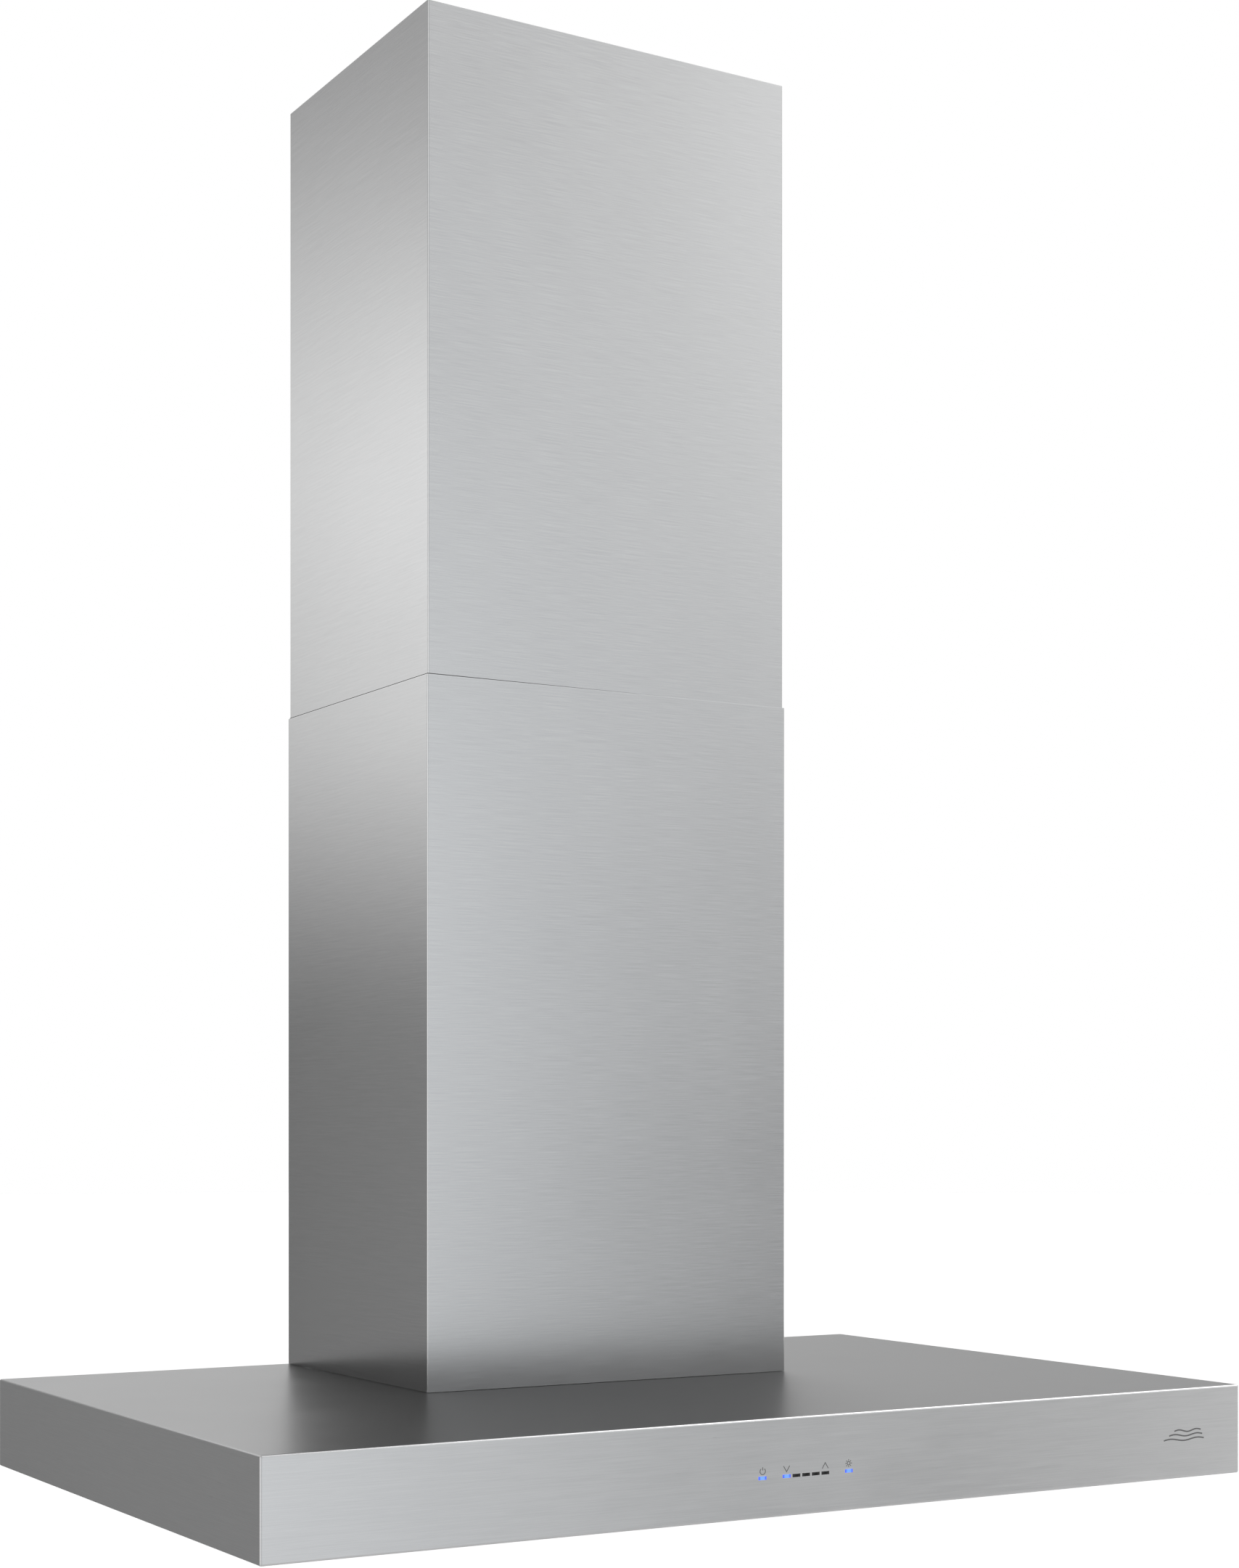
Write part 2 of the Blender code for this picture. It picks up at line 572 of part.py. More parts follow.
def make_blower_box():
    """A box open at the bottom, with feet along its sides, two rear hooks and a round outlet."""
    low = CANOPY_H + GAP
    outer = ((-BOX_HALF, BOX_HALF), (BOX_FRONT, BOX_BACK), (low, BOX_TOP))
    space = (
        (SHEET - BOX_HALF, BOX_HALF - SHEET), (BOX_FRONT + SHEET, BOX_BACK - SHEET),
        (low - 1, BOX_TOP - SHEET),
    )
    boxes, cuts = [outer], []
    for way in (-1, 1):
        foot = mirrored(BOX_HALF, BOX_HALF + BOX_FOOT, way)
        boxes.append((foot, (BOX_FRONT, BOX_BACK), (low, low + SHEET)))
        hook = mirrored(HOOK_FROM, HOOK_TO, way)
        boxes.append((hook, (BOX_BACK - SHEET, HOOK_TIP), (326, 328)))
        boxes.append((hook, (HOOK_TIP - 1.5, HOOK_TIP), (313, 328)))
        cuts.append((mirrored(BOX_HALF - 2, BOX_HALF + 1, way), square(CLIP_Y), square(CLIP_Z)))
    for x, y in SCREW_SPOTS:
        cuts.append((square(x), square(y), (low - 1, low + 3)))
    cuts.append((LEAD_HOLE_X, LEAD_HOLE_Y, (BOX_TOP - 3, BOX_TOP + 1)))
    box = plates("blower_box", boxes, [space, *cuts], ZINC, 0.4)
    under, over = (0, FAN_Y, BOX_TOP - 10), (0, FAN_Y, BOX_TOP + 10)
    boolean(box, rod("outlet_hole", under, over, COLLAR_R - 1.0, 32), "DIFFERENCE")
    for i, (x, y) in enumerate(SCREW_SPOTS):
        screw(f"box_screw_{i + 1}", (x, y, low + SHEET + GAP), (0, 0, 1), 7)


def scroll_outline(inset, top):
    """The volute's side view, as (y, z): a spiral whose radius grows from the tongue round to
    the back, then a throat that narrows towards the collar."""
    points = []
    steps = 20
    for i in range(steps + 1):
        degrees = TONGUE_DEG + (360 - TONGUE_DEG) * i / steps
        radius = SCROLL_R0 + (SCROLL_R1 - SCROLL_R0) * i / steps - inset
        angle = math.radians(degrees)
        points.append((FAN_Y + radius * math.cos(angle), FAN_Z + radius * math.sin(angle)))
    throat = SCROLL_THROAT / 2 - inset
    points.append((FAN_Y + SCROLL_R1 - inset, FAN_Z + 40))
    points.append((FAN_Y + throat, SCROLL_TOP))
    if top > SCROLL_TOP:
        points += [(FAN_Y + throat, top), (FAN_Y - throat, top)]
    points.append((FAN_Y - throat, SCROLL_TOP))
    return points


def make_scroll():
    scroll = prism("scroll_housing", scroll_outline(0, SCROLL_TOP), "X", -SCROLL_HALF, SCROLL_HALF,
                   ZINC, 0.4)
    inner = SCROLL_HALF - SHEET
    space = prism("scroll_space", scroll_outline(SHEET, SCROLL_TOP + 5), "X", -inner, inner)
    boolean(scroll, space, "DIFFERENCE")
    inlets = rod("scroll_inlets", (-90, FAN_Y, FAN_Z), (90, FAN_Y, FAN_Z), INLET_R, 32)
    boolean(scroll, inlets, "DIFFERENCE")


def make_inlet_ring(side, way):
    face = SCROLL_HALF + GAP
    profile = [
        (80, face), (80, face + 1), (74, face + 1.4), (71, face + 4), (69, face + 3.8),
        (67.8, face + 1), (67.5, face - 3.8), (68.7, face - 3.8), (69.3, face - 0.6), (70.2, face),
    ]
    centre = (0, FAN_Y, FAN_Z)
    turned(f"inlet_ring_{side}", profile, centre, (way, 0, 0), (0.06, 0.06, 0.065), 0.5, 0, 24)


def make_impeller():
    """A double-inlet wheel: blades between two rings and a middle disc on a hub, as a grid of
    cells (ring, angle, along the axis)."""
    half = IMPELLER_HALF
    stops_x = [-half, 4 - half, -9, -1.5, 1.5, 9, half - 4, half]
    stops_r = [SHAFT_BORE, 12, BLADE_ROOT, IMPELLER_R]
    hub, disc, blades = range(3)
    middle, last = 3, len(stops_x) - 2
    pitch = 2 * math.pi / BLADES
    angles = [i * pitch + part for i in range(BLADES) for part in (0, 0.13 * pitch)]
    columns = len(angles)
    full = set()
    for column in range(columns):
        full |= {(hub, column, k) for k in (middle - 1, middle, middle + 1)}
        full.add((disc, column, middle))
        is_blade = column % 2 == 0
        full |= {
            (blades, column, k)
            for k in range(last + 1)
            if is_blade or k in (0, middle, last)
        }

    def place(corner):
        radius, angle = stops_r[corner[0]], angles[corner[1]]
        y, z = FAN_Y + radius * math.cos(angle), FAN_Z + radius * math.sin(angle)
        return (stops_x[corner[2]], y, z)

    bm = skin(full, place, lambda index: (index[0], index[1] % columns, index[2]))
    wheel = finish("impeller", bm, (0.05, 0.05, 0.055), 0.5, 0.0)
    axis_point = (0, FAN_Y, FAN_Z)
    along = [(0, -20), (SHAFT_R, -20), (SHAFT_R, 38), (0, 38)]
    shaft = turned("impeller_shaft", along, axis_point, (1, 0, 0), (0.7, 0.7, 0.7), 0.2, sides=16)
    flats = [(SHAFT_BORE, -16), (8, -16), (8, -9.3), (SHAFT_BORE, -9.3)]
    nut = turned("impeller_nut", flats, axis_point, (1, 0, 0), (0.6, 0.55, 0.35), 0.3, sides=12)
    pivot("impeller_spin", axis_point, wheel, shaft, nut)


def make_motor():
    """The motor's shaft end has a blind bore for the shaft. A band holds the motor, and its arms
    are screwed to the scroll's right-hand face."""
    a, b = MOTOR_FROM, MOTOR_TO
    profile = [
        (0, a + 30), (SHAFT_BORE, a + 30), (SHAFT_BORE, a), (14, a), (16, a + 5),
        (MOTOR_R - 6, a + 9), (MOTOR_R, a + 20), (MOTOR_R, b - 12), (MOTOR_R - 8, b - 3), (0, b),
    ]
    centre = (0, FAN_Y, FAN_Z)
    turned("motor", profile, centre, (1, 0, 0), (0.2, 0.2, 0.21), 0.45, sides=24)
    band = [(MOTOR_R + GAP, 74), (MOTOR_R + 3, 74), (MOTOR_R + 3, 82), (MOTOR_R + GAP, 82)]
    bracket = turned("motor_bracket", band, centre, (1, 0, 0), ZINC, 0.4, sides=24)
    face = SCROLL_HALF + GAP
    across = (-ARM_HALF, ARM_HALF)
    for i in range(MOTOR_ARMS):
        arm = plates_bmesh([
            ((75, 77), across, (MOTOR_R + 1.5, 92)), ((face, 77), across, (84, 92)),
        ])
        turn = Matrix.Rotation(2 * math.pi * i / MOTOR_ARMS, 3, "X")
        bmesh.ops.rotate(arm, cent=(0, 0, 0), matrix=turn, verts=arm.verts)
        bmesh.ops.translate(arm, vec=centre, verts=arm.verts)
        boolean(bracket, finish(f"motor_arm_{i}", arm, ZINC), "UNION")


def make_capacitor():
    left = SHEET + GAP - BOX_HALF
    profile = [(0, 0), (3, 0), (14, 0.8), (14, 46), (15, 47), (15, 50), (0, 50)]
    foot = (left, CAPACITOR_Y, CAPACITOR_Z)
    turned("capacitor", profile, foot, (1, 0, 0), (0.75, 0.75, 0.73), 0.4, 0, 20)


def make_collar():
    low = BOX_TOP + GAP
    r = COLLAR_R
    profile = [
        (r - 1, low), (88, low), (88, low + 1), (r, low + 1), (r, COLLAR_TOP), (r - 1, COLLAR_TOP),
    ]
    collar = turned("outlet_collar", profile, (0, FAN_Y, 0), (0, 0, 1), ZINC, 0.35, sides=32)
    pin_holes = rod("pin_holes", (-90, FAN_Y, PIN_Z), (90, FAN_Y, PIN_Z), PIN_R + GAP, 10)
    boolean(collar, pin_holes, "DIFFERENCE")
    rod("damper_pin", (-76.5, FAN_Y, PIN_Z), (76.5, FAN_Y, PIN_Z), PIN_R, 10)


def make_flap(name, way, curls):
    """Half a damper disc under the pin. Two curls at its straight edge wrap round the pin."""
    z = (PIN_Z - CURL_OUT, PIN_Z - CURL_OUT + FLAP_SHEET)
    gap = CURL_OUT + 0.5
    start = math.degrees(math.asin(gap / FLAP_R))
    edge = arc((0, 0), FLAP_R, start, 180 - start, 18)
    outline = [(x, FAN_Y + way * y) for x, y in edge]
    flap = prism(name, outline, "Z", z[0], z[1], (0.6, 0.61, 0.62), 0.4)
    reach = [(way * (gap + 1.0), -CURL_IN), (way * (gap + 1.0), -CURL_OUT)]
    wrap = [(FAN_Y + y, PIN_Z + v) for y, v in (*reach, *curl_points(way))]
    for i, x in enumerate(curls):
        curl = prism(f"{name}_curl_{i}", wrap, "X", x - CURL_HALF, x + CURL_HALF)
        boolean(flap, curl, "UNION")
    return flap


def curl_points(way):
    """The curl's outline about the pin, from the plate's underside round and back inside."""
    outer = arc((0, 0), CURL_OUT, -90, -360, 9)
    inner = arc((0, 0), CURL_IN, -360, -90, 9)
    return [(way * y, z) for y, z in (*outer, *inner)]


def make_damper():
    front = make_flap("damper_flap_front", -1, (-50, 20))
    rear = make_flap("damper_flap_rear", 1, (-20, 50))
    pivot("damper_front_hinge", (0, FAN_Y, PIN_Z), front)
    pivot("damper_rear_hinge", (0, FAN_Y, PIN_Z), rear)


# --- Wiring -------------------------------------------------------------------------------------


def make_mains_box():
    low = BOX_TOP + GAP
    outer = (MAINS_X, MAINS_Y, (low, low + MAINS_H))
    space = (
        (MAINS_X[0] + 1, MAINS_X[1] - 1), (MAINS_Y[0] + 1, MAINS_Y[1] - 1),
        (low + 1, low + MAINS_H + 2),
    )
    entry = (LEAD_HOLE_X, LEAD_HOLE_Y, (low - 1, low + 2))
    plates("junction_box", [outer], [space, entry], ZINC, 0.4)
    lid_low = low + MAINS_H + GAP
    lid = (MAINS_X, MAINS_Y, (lid_low, lid_low + 1))
    lid_hole = (square(GLAND_X, 7), square(GLAND_Y, 7), (lid_low - 1, lid_low + 2))
    plates("junction_box_lid", [lid], [lid_hole], ZINC, 0.4)
    seat = lid_low + 1 + GAP
    gland = [
        (4, seat - 5), (6.5, seat - 5), (6.5, seat), (10, seat), (10, seat + 6), (8, seat + 7),
        (7, seat + 17), (4, seat + 18),
    ]
    foot = (GLAND_X, GLAND_Y, 0)
    turned("cable_gland", gland, foot, (0, 0, 1), (0.05, 0.05, 0.05), 0.5, 0, 16)


def make_leads():
    """The leads run between the power module, lamps, board, motor and mains box."""
    low = BOX_TOP + GAP
    lamp_top = PANEL_Z - GAP + 2.9 + 19 + GAP
    wire = (0.85, 0.84, 0.8)
    lead("lamp_lead_right", [
        (180 + GAP, -200, 45), (185, -200, 45), (205, -199, 49), (226, -196, 49), (235, -195, 42),
        (235, -195, lamp_top),
    ], 1.6, wire)
    lead("lamp_lead_left", [
        (80 - GAP, -200, 45), (75, -200, 45), (55, -199, 52), (0, -196, 56), (-100, -198, 56),
        (-180, -199, 55), (-226, -196, 49), (-235, -195, 42), (-235, -195, lamp_top),
    ], 1.6, wire)
    lead("control_lead", [
        (80 - GAP, -215, 40), (75, -215, 40), (62, -218, 40), (48, -226, 39), (45, -233, 38.5),
        (45, -238, 38.5),
    ], 2.2, (0.5, 0.5, 0.52))
    lead("motor_lead", [
        (MOTOR_TO + 2 * GAP, FAN_Y, FAN_Z), (103, FAN_Y, FAN_Z), (112, 130, 200), (120, 145, 240),
        (118, 165, 300), (112, 187, 345), (111, 189, BOX_TOP), (111, 189, low + 8),
    ], 2.4, (0.08, 0.08, 0.09))
    lead("supply_lead", [
        (117.4, 195.4, low + 12), (117.4, 195.4, BOX_TOP), (120, 200, 345), (128, 215, 310),
        (130, 220, 240), (130, 220, 140), (127, 210, 80), (122, 180, 54), (128, 60, 52),
        (134, -60, 52), (131, -130, 48), (130, -155, 46), (130, -162 + GAP, 46),
    ], 2.4, (0.8, 0.79, 0.75))


def main():
    for obj in list(bpy.data.objects):
        bpy.data.objects.remove(obj)
    make_canopy_shell()
    make_rear_panel()
    make_underside_panel()
    make_light_guide()
    make_control_unit()
    make_power_module()
    for side, way in (("left", -1), ("right", 1)):
        make_lamp(side, way * LAMP_X)
        make_filter(side, way * FILTER_X)
        make_inlet_ring(side, way)
    make_duct_covers()
    make_hanging_rail()
    make_cover_clips()
    make_blower_box()
    make_scroll()
    make_impeller()
    make_motor()
    make_capacitor()
    make_collar()
    make_damper()
    make_mains_box()
    make_leads()


main()
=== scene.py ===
import json
import math

import bmesh
import bpy
from mathutils import Matrix, Vector


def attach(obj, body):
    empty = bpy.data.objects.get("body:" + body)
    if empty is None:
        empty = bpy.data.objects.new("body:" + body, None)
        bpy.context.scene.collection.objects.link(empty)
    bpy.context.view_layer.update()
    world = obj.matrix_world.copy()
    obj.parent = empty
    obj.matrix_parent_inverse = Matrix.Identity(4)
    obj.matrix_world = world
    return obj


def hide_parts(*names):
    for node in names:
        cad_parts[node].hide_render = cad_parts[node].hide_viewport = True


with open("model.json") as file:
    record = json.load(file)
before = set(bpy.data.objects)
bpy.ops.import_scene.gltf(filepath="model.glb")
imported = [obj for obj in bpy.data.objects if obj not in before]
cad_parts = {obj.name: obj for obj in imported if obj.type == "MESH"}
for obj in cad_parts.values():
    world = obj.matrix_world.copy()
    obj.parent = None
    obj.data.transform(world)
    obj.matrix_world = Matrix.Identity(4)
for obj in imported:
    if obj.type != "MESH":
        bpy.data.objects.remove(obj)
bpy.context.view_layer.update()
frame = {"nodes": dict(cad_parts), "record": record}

# The looks of a wall-mounted chimney range hood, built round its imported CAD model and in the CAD's
# frame: +X right along the canopy, +Y back to the wall, +Z up. The stage and the materials are in
# metres. The finer pieces are built in millimetres, which piece() turns into metres.

MM = 0.001
SCENE = bpy.context.scene

RIGHT, LEFT = (1, 0, 0), (-1, 0, 0)
BACK, FORWARD = (0, 1, 0), (0, -1, 0)
UP, DOWN = (0, 0, 1), (0, 0, -1)
SIDES = (("left", -1), ("right", 1))
WHITE, BLACK = (1, 1, 1, 1), (0, 0, 0, 1)


# --- Node tools --------------------------------------------------------------------------------


class Nodes:
    """Adds nodes to one tree. A value given for a socket is linked if it is itself a socket."""

    def __init__(self, tree):
        self.tree = tree
        self.tree.nodes.clear()

    def add(self, kind, values=(), **settings):
        """A node of this kind, with values for its sockets by name or number, and its settings."""
        node = self.tree.nodes.new("ShaderNode" + kind)
        for name, value in settings.items():
            setattr(node, name, value)
        for name, value in dict(values).items():
            if isinstance(value, bpy.types.NodeSocket):
                self.tree.links.new(value, node.inputs[name])
            else:
                node.inputs[name].default_value = value
        return node

    def math(self, operation, *values):
        """A sum on numbers."""
        return self.add("Math", dict(enumerate(values)), operation=operation).outputs[0]

    def vector(self, operation, *values):
        """A sum on vectors, which gives a number for a dot product or a length."""
        node = self.add("VectorMath", dict(enumerate(values)), operation=operation)
        return node.outputs["Value" if operation in ("DOT_PRODUCT", "LENGTH") else "Vector"]

    def ramp(self, value, low, high, to_low=0.0, to_high=1.0, smooth=True):
        """A value between low and high, mapped to lie between to_low and to_high."""
        values = {0: value, 1: low, 2: high, 3: to_low, 4: to_high}
        kind = "SMOOTHSTEP" if smooth else "LINEAR"
        return self.add("MapRange", values, interpolation_type=kind).outputs[0]

    def scaled(self, vector, scale):
        """The vector with each part multiplied by its own scale."""
        return self.vector("MULTIPLY", vector, scale)

    def noise(self, vector, scale=1.0, detail=2.0, roughness=0.5):
        """Soft noise about 0.5."""
        values = {"Vector": vector, "Scale": scale, "Detail": detail, "Roughness": roughness}
        return self.add("TexNoise", values).outputs["Fac"]

    def blend(self, factor, low, high):
        """A colour between two, by factor."""
        low, high = (
            colour if isinstance(colour, bpy.types.NodeSocket) else (*colour, 1.0)
            for colour in (low, high)
        )
        return self.add("Mix", {0: factor, 6: low, 7: high}, data_type="RGBA").outputs[2]


def grey(level, blue=0.0):
    """A grey, made cooler by the share blue."""
    return (level * (1 - blue), level, level * (1 + blue))


def material(name):
    """A new material and its empty node tree."""
    made = bpy.data.materials.new(name)
    made.use_nodes = True
    return made, Nodes(made.node_tree)


# --- Camera and stage --------------------------------------------------------------------------

# The camera was solved from the corners of the canopy and the covers. It is level, and its lens is
# shifted up, as the photograph's is.
CAMERA_AT = (-0.9545, -1.6452, 0.2616)
CAMERA_TURN = -31.02  # degrees from looking along +Y
LENS, SENSOR = 59.56, 36.0  # millimetres
SHIFT_X, SHIFT_Y = -0.022, 0.2093

FLOOR_Z = -1.65  # the hood hangs at its usual height above the floor
FLOOR_R = 60.0
FLOOR_DARK, FLOOR_PALE, FLOOR_GLOW = 0.83, 0.87, 0.42

# The studio's light at eye level and from above, which changes over the first part of the way up.
EYE_LEVEL_LIGHT, OVERHEAD_LIGHT, OVERHEAD_FROM = 0.65, 0.53, 0.3
# The broad soft lights that come on top: azimuth, elevation, half width and half height in
# degrees, then strength. A negative one takes light away.
LIGHTS = (
    (172, -2, 30, 52, 0.72),
    (187, 5, 20, 60, -0.32),
    (122, -10, 24, 30, 0.63),
    (142, -4, 17, 33, -0.40),
    (126, 36, 26, 40, 0.95),
    (140, 18, 14, 25, 0.60),
    (151, 10, 22, 16, 0.11),
    (108, 50, 32, 18, 3.5),
    (-120, 5, 38, 60, 0.6),
    (-70, 0, 40, 70, -0.35),
    (44, 5, 28, 20, -0.24),
    (2, 34, 24, 18, 0.9),
)
BRIGHTEST = 9.0
# The part of the studio whose light is slightly blue: its direction, the cosines at which the blue
# starts and is full, and how blue it is.
COOL_SIDE = (0.17, -0.98, 0.0)
COOL_FROM, COOL_FULL, COOL_BLUE = 0.84, 0.99, 0.03

# The panel that the left faces reflect: (height, strength) at the ends of its bands of light.
PANEL_AT, PANEL_TURN = (-0.95, 1.35), -24
PANEL_WIDTH, PANEL_LOW, PANEL_HIGH = 1.6, -1.4, 3.2
PANEL_BANDS = ((-1.4, 0.225), (0.35, 0.25), (0.84, 0.87), (1.05, 0.98), (1.75, 0.42))
PANEL_RIGHT, PANEL_LEFT = (-0.45, 0.78), (-0.95, 1.22)  # x, and the share of the light there

# The share of light left for a ray that has met a second mirror-like surface.
WORLD_AGAIN, PANEL_AGAIN = 0.25, 0.06


def make_camera():
    """The photograph's camera."""
    camera = bpy.data.objects.new("camera", bpy.data.cameras.new("camera"))
    SCENE.collection.objects.link(camera)
    camera.location = CAMERA_AT
    camera.rotation_euler = (math.radians(90), 0, math.radians(CAMERA_TURN))
    camera.data.sensor_width = SENSOR
    camera.data.lens = LENS
    camera.data.shift_x = SHIFT_X
    camera.data.shift_y = SHIFT_Y
    SCENE.camera = camera


def lobe(n, direction, azimuth, elevation, width, height, strength):
    """A soft-edged light in one direction of the world. Azimuth turns from +Y towards +X, and
    width and height are its half sizes, all in degrees."""
    az, el = math.radians(azimuth), math.radians(elevation)
    centre = (math.sin(az) * math.cos(el), math.cos(az) * math.cos(el), math.sin(el))
    depth = 1.2  # large, so that the sphere of directions counts as flat here
    scale = (math.radians(width), depth, math.radians(height))
    values = {"Vector": direction, "Location": centre, "Rotation": (el, 0, -az), "Scale": scale}
    near = n.add("Mapping", values, vector_type="TEXTURE").outputs[0]
    ball = n.add("TexGradient", {"Vector": near}, gradient_type="SPHERICAL").outputs["Fac"]
    return n.ramp(ball, 0.0, 1.0, 0.0, strength)


def shade_by_bounce(n, light, share):
    """Keeps a share of the light for a ray that has met a second mirror-like surface."""
    path = n.add("LightPath")
    again = n.math("GREATER_THAN", path.outputs["Glossy Depth"], 1.5)
    return n.math("MULTIPLY", light, n.ramp(again, 0, 1, 1.0, share, smooth=False))


def make_world():
    """White behind the object, and a soft studio of broad lights in its reflections."""
    world = bpy.data.worlds.new("studio")
    world.use_nodes = True
    SCENE.world = world
    world.cycles.sampling_method = "NONE"
    n = Nodes(world.node_tree)
    direction = n.add("TexCoord").outputs["Generated"]
    up = n.add("SeparateXYZ", {0: direction}).outputs["Z"]
    light = n.ramp(up, 0.0, OVERHEAD_FROM, EYE_LEVEL_LIGHT, OVERHEAD_LIGHT)
    for spot in LIGHTS:
        light = n.math("ADD", light, lobe(n, direction, *spot))
    light = shade_by_bounce(n, light, WORLD_AGAIN)
    seen = n.add("LightPath").outputs["Is Camera Ray"]
    light = n.math("ADD", light, n.math("MULTIPLY", seen, 2.0))
    most = n.ramp(seen, 0, 1, BRIGHTEST, 1.0, smooth=False)
    light = n.math("MINIMUM", light, most)
    cool = n.ramp(n.vector("DOT_PRODUCT", direction, COOL_SIDE), COOL_FROM, COOL_FULL)
    colour = n.blend(n.math("SUBTRACT", cool, seen), grey(1.0), grey(1.0, COOL_BLUE))
    background = n.add("Background", {"Color": colour, "Strength": light})
    n.add("OutputWorld", {"Surface": background.outputs[0]})


def stage_object(name, bm):
    """A thing of the stage, out of a mesh in metres, and the empty node tree of its material."""
    mesh = bpy.data.meshes.new(name)
    bm.to_mesh(mesh)
    bm.free()
    made = bpy.data.objects.new(name, mesh)
    SCENE.collection.objects.link(made)
    finish, nodes = material(name)
    mesh.materials.append(finish)
    return made, nodes


def make_panel():
    """An upright sheet that only reflections see, lit in bands and brighter towards the left."""
    bm = bmesh.new()
    bmesh.ops.create_grid(bm, x_segments=2, y_segments=2, size=0.5)
    middle = (*PANEL_AT, (PANEL_LOW + PANEL_HIGH) / 2)
    for step in (
        Matrix.Diagonal((PANEL_WIDTH, PANEL_HIGH - PANEL_LOW, 1, 1)),
        Matrix.Rotation(math.pi / 2, 4, "X"),
        Matrix.Rotation(-math.radians(PANEL_TURN), 4, "Z"),
        Matrix.Translation(middle),
    ):
        bmesh.ops.transform(bm, matrix=step, verts=bm.verts)
    panel, n = stage_object("left_panel", bm)
    panel.visible_camera = False
    panel.visible_diffuse = False
    panel.visible_shadow = False
    place = n.add("SeparateXYZ", {0: n.add("TexCoord").outputs["Object"]})
    light = PANEL_BANDS[0][1]
    for (low, _), (high, strength) in zip(PANEL_BANDS, PANEL_BANDS[1:]):
        step = n.ramp(place.outputs["Z"], low, high)
        light = n.add("Mix", {0: step, 2: light, 3: strength}).outputs[0]
    (right, dimmed), (left, raised) = PANEL_RIGHT, PANEL_LEFT
    light = n.math("MULTIPLY", light, n.ramp(place.outputs["X"], right, left, dimmed, raised))
    light = shade_by_bounce(n, light, PANEL_AGAIN)
    glow = n.add("Emission", {"Color": WHITE, "Strength": light})
    n.add("OutputMaterial", {"Surface": glow.outputs[0]})


def make_floor():
    """A pale floor, which the steel's reflections leave out."""
    bm = bmesh.new()
    bmesh.ops.create_circle(bm, cap_ends=True, segments=96, radius=FLOOR_R)
    floor, n = stage_object("floor", bm)
    floor.location.z = FLOOR_Z
    floor.visible_glossy = False
    mottle = n.noise(n.add("TexCoord").outputs["Object"], 2.0, 4.0)
    shader = n.add("BsdfPrincipled", {
        "Base Color": n.blend(mottle, grey(FLOOR_DARK), grey(FLOOR_PALE)), "Roughness": 0.85,
        "Emission Strength": FLOOR_GLOW, "Emission Color": WHITE,
    })
    n.add("OutputMaterial", {"Surface": shader.outputs[0]})


def make_stage():
    """The camera, and the lights and surfaces round the hood."""
    SCENE.view_settings.view_transform = "Standard"
    make_camera()
    make_world()
    make_floor()
    make_panel()


# --- Materials ---------------------------------------------------------------------------------

# Noise scales are per metre, and the widths of edges and depths of bumps are metres.
GRAIN_RUN = 30  # along the lines of brushed steel, where its grain hardly changes
SMUDGE = 7.0
# Which way a sheet stretches its reflections: upright sheets up and down, and flat ones along the
# hood's width or across it.
ALONG_SHEET, ACROSS_SHEET = (0.001, 0, 1), (0, 0.001, 1)
ACROSS_BAFFLES = (1, 0, 0.001)


def shade(n, values, height, depth, strength):
    """Ends a material: a principled shader with these values, over a bump of this height."""
    bump = n.add("Bump", {"Height": height, "Distance": depth, "Strength": strength})
    shader = n.add("BsdfPrincipled", {**values, "Normal": bump.outputs[0]})
    n.add("OutputMaterial", {"Surface": shader.outputs[0]})


def worn_edge(n, width):
    """1 where the surface bends within width, as on an edge that cloths have polished."""
    rounded = n.add("Bevel", {"Radius": width}, samples=4).outputs[0]
    true = n.add("NewGeometry").outputs["Normal"]
    return n.ramp(n.vector("DOT_PRODUCT", rounded, true), 0.99, 0.88)


def brushed_grain(n, place, facing, along, fine):
    """Fine lines along X, on upright and on flat faces, or along Y."""
    run = GRAIN_RUN
    if along == "Y":
        return n.noise(n.scaled(place, (fine, run, fine)), 1.0, 4.0, 0.7)
    lies_flat = n.math("ABSOLUTE", n.add("SeparateXYZ", {0: facing}).outputs["Z"])
    upright = n.noise(n.scaled(place, (run, run, fine)), 1.0, 4.0, 0.7)
    flat = n.noise(n.scaled(place, (run, fine, run)), 1.0, 4.0, 0.7)
    return n.add("Mix", {0: n.ramp(lies_flat, 0.6, 0.8), 2: upright, 3: flat}).outputs[0]


def steel(name, level=0.62, rough=0.26, along="X", fine=2600, contrast=0.05, bump=0.08,
          stretch=0.25, spread=ACROSS_SHEET):
    """Stainless sheet with a fine grain, soft smudges and edges rubbed bright. Each face
    stretches its reflections in the direction on it that is nearest to spread."""
    made, n = material(name)
    coord = n.add("TexCoord")
    place, facing = coord.outputs["Object"], coord.outputs["Normal"]
    grain = brushed_grain(n, place, facing, along, fine)
    smudge = n.noise(place, SMUDGE, 4.0, 0.55)
    edge = worn_edge(n, 0.0012)
    tone = n.math("ADD", n.ramp(grain, 0.3, 0.7), n.math("MULTIPLY", edge, 2.5))
    colour = n.blend(n.math("MULTIPLY", tone, 0.28),
                     grey(level * (1 - contrast), 0.004), grey(min(1, level * (1 + 6 * contrast))))
    roughness = n.math("ADD", n.ramp(grain, 0.2, 0.8, rough - 0.03, rough + 0.03),
                       n.ramp(smudge, 0.35, 0.75, 0.0, 0.03))
    side = n.vector("CROSS_PRODUCT", facing, spread)
    shade(n, {
        "Base Color": colour, "Metallic": 1.0, "Roughness": roughness, "Anisotropic": stretch,
        "Tangent": n.vector("CROSS_PRODUCT", facing, side),
    }, grain, 0.00004, bump)
    return made


